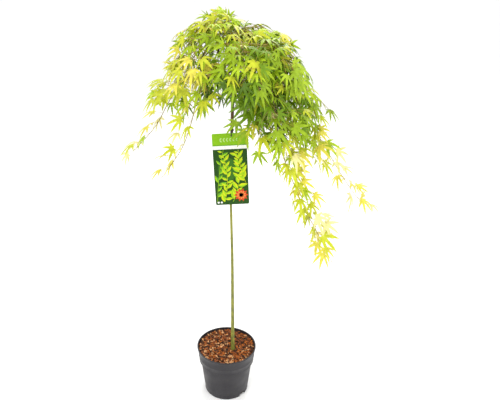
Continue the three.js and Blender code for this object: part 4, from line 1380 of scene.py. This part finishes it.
# A bending stalk with ovate leaves, paired or, where they are uneven, one after the other
def sprig(start, heading, bend, count, length, step, uneven=0):
    p = labelPlan
    leaves, halves, strokes = [], [], []
    chance = random.Random(length)
    foot = start
    for k in range(count):
        turn = math.radians(heading)
        node = shifted(foot, turn, step, 0)
        strokes.append(stroke(foot, node, p["stalkWidth"]))
        for hand in (-1, 1):
            size = length * (1 - p["leafTaper"] * k / count)
            size *= 1 + uneven * chance.uniform(*p["unevenSize"])
            root = shifted(node, turn, -step * 0.5 * uneven * (hand > 0), 0)
            aim = heading + hand * p["pairAngle"] + uneven * chance.uniform(*p["unevenAngle"])
            leaves.append(ovateLeaf(root, aim, size, size * p["leafWidth"]))
            halves.append(ovateLeaf(root, aim, size, size * p["leafWidth"], hand))
        foot = node
        heading += bend
    return leaves, halves, strokes


def rosette(petal, width, turn):
    p = labelPlan
    headings = [360 * k / p["petals"] + turn for k in range(p["petals"])]
    return [ovateLeaf(p["rosetteCentre"], heading, petal, width) for heading in headings]


def inkLook(name, colour, shade, grain):
    return mottled(name, 0.5, tuple(shade * c for c in colour), colour, grain, 0.05, 900, gloss=0.12)


def makeCard():
    p = labelPlan
    hole = ringPoints((p["holeAside"], p["height"] / 2 - p["holeDrop"]), p["hole"], p["hole"], 24)
    back = p["front"] + p["thickness"]
    shaper = bmesh.new()
    edges = []
    for ring in (roundedOutline(p["width"], p["height"], p["corner"]), hole):
        corners = [shaper.verts.new(np.array((x, back, z)) * mm) for x, _, z in onCard(ring, 0)]
        edges += [shaper.edges.new((a, b)) for a, b in zip(corners, corners[1:] + corners[:1])]
    bmesh.ops.triangle_fill(shaper, use_beauty=True, edges=edges)
    spread = bmesh.ops.extrude_face_region(shaper, geom=shaper.faces[:])
    moved = [g for g in spread["geom"] if isinstance(g, bmesh.types.BMVert)]
    bmesh.ops.translate(shaper, verts=moved, vec=(0, -p["thickness"] * mm, 0))
    bmesh.ops.recalc_face_normals(shaper, faces=shaper.faces[:])
    mesh = bpy.data.meshes.new("label_card")
    shaper.to_mesh(mesh)
    shaper.free()
    for key in ("band", "header"):
        mesh.materials.append(inkLook(f"label card {key}", p[key], 0.93, 40))
    for polygon in mesh.polygons:     # only the front face is printed
        polygon.material_index = int(polygon.normal.y < -0.5)
    seat(newObject("label_card", mesh), ["plant_label"])


def makeLabel():
    p = labelPlan
    makeCard()
    top, half = p["height"] / 2, p["width"] / 2
    headerFoot = top - p["headerHeight"]
    panelTop = headerFoot - p["bandHeight"]
    ink = {key: inkLook(f"label {key}", p[key], 0.86, 130)
           for key in ("headerDeep", "headerPale", "band", "panel", "panelGlow", "limeLeaf", "yellowLeaf",
                       "greenLeaf", "rosette", "rosetteLight")}

    def strip(low, high):
        return [(-half, low), (half, low), (half, high), (-half, high)]

    def onPanel(shape):
        return all(abs(u) < half - 1 and 2 - top < v < panelTop - 1 for u, v in shape)

    printed("label_header_stripe", [strip(headerFoot, headerFoot + p["stripeHeight"])], 1, ink["headerDeep"])
    printed("label_band", [strip(panelTop, headerFoot)], 1, ink["band"])
    foot = sorted(point for point in roundedOutline(p["width"], p["height"], p["corner"]) if point[1] < 0)
    printed("label_panel", [foot + [(half, panelTop), (-half, panelTop)]], 1, ink["panel"])
    printed("label_panel_glow", [ringPoints(*p["glow"], 24)], 2, ink["panelGlow"])
    for layer, (*shape, key) in enumerate(p["sprigs"]):
        leaves, halves, strokes = (list(filter(onPanel, part)) for part in sprig(*shape, uneven=1))
        printed(f"label_sprig_{layer + 1}", leaves, 3 + 2 * layer, ink[key])
        printed(f"label_sprig_{layer + 1}_light", halves + strokes, 4 + 2 * layer, ink[p["sprigShade"][key]])
    petal = p["rosettePetal"]
    printed("label_rosette", rosette(petal, petal * 0.45, 0), 12, ink["rosette"])
    printed("label_rosette_light", rosette(petal * 0.7, petal * 0.3, 18), 13, ink["rosetteLight"])
    printed("label_header_sprig", sprig(*p["headerSprig"])[0], 1, ink["headerPale"])
    discs = [ringPoints(centre, p["discRadius"], p["discRadius"], 16) for centre in p["discs"]]
    printed("label_discs", discs, 12, ink["band"])
    print("label: ", len(p["sprigs"]), "sprigs")


tiePlan = {
    "height": 888,
    "bandWidth": 3.6,
    "bandThick": 1.2,
    "slack": 0.35,                # between the band and the trunk
    "sides": 48,
    "strapRadius": 0.85,
    "strapFront": 1.4,            # how far the strap stands off the card's front and its back
    "strapBack": 0.6,
    "colour": (0.012, 0.012, 0.013),
}


def makeTie():
    p, card = tiePlan, labelPlan
    black, tree, shader = newMaterial("tie plastic", 0.42, p["colour"])
    addBump(tree, shader, speckle(tree, 900, 3), 0.15, 0.0002)
    centre = trunkCentre(p["height"])
    inner = trunkRadius(p["height"]) + p["slack"]
    outer, shoulder = inner + p["bandThick"], inner + p["bandThick"] * 0.8
    profile = [(shoulder, -0.5), (outer, -0.3), (outer, 0.3), (shoulder, 0.5), (inner, 0.5), (inner, -0.5)]
    profile = [(radius, p["height"] + level * p["bandWidth"]) for radius, level in profile]
    pile = Pile()
    pile.add(*lathe(profile, p["sides"], centre[:2], closed=True))
    hole = onCard([(card["holeAside"], card["height"] / 2 - card["holeDrop"])], 0)[0]
    front, back = card["front"] - p["strapFront"], card["front"] + card["thickness"] + p["strapBack"]
    # the strap runs from the band's front out over the card's edge and back through its hole
    loop = [
        (centre[0] - 1.2, centre[1] - inner, p["height"]),
        (hole[0] - 0.6, front + 0.2, p["height"] + 0.6), (hole[0], front, hole[2] + 4.5),
        (hole[0], front + 0.3, hole[2] - 0.2), (hole[0], back, hole[2] - 0.4)]
    pile.add(*tube(Route(smoothLine(loop, 10)), p["strapRadius"], p["strapRadius"], 10, 40))
    pile.piece("label_tie_band", black, "tie_plastic", ["label_tie"])
    print("tie: done")


def makeFloor():
    look, tree, shader = newMaterial("studio floor", 0.9, studio["floorColour"])
    shade = tuple(studio["floorShade"] * c for c in studio["floorColour"])
    colourBy(tree, shader, speckle(tree, 2, 2), [(0.3, shade), (0.7, studio["floorColour"])])
    shader.inputs["Specular IOR Level"].default_value = 0.1
    half = studio["floorSize"] / 2
    mesh = bpy.data.meshes.new("studio_floor")
    corners = [(x * half, y * half, 0) for x, y in ((-1, -1), (1, -1), (1, 1), (-1, 1))]
    mesh.from_pydata(corners, [], [(0, 1, 2, 3)])
    mesh.materials.append(look)
    floor = newObject("studio_floor", mesh)
    floor.location.z = -studio["floorDrop"]


makeStudio()
makeFloor()
print("studio: done")
makePot()
makeFilling()
makeTrunk(trunkBark())
limbs = layLimbs()
boughBark = mottled("bough bark", 0.55, boughPlan["dark"], boughPlan["light"], 170, 0.35, 800, 5, (1, 1, 0.5))
makeBoughs(limbs, boughBark)
makeFoliage(limbs)
makeLabel()
makeTie()
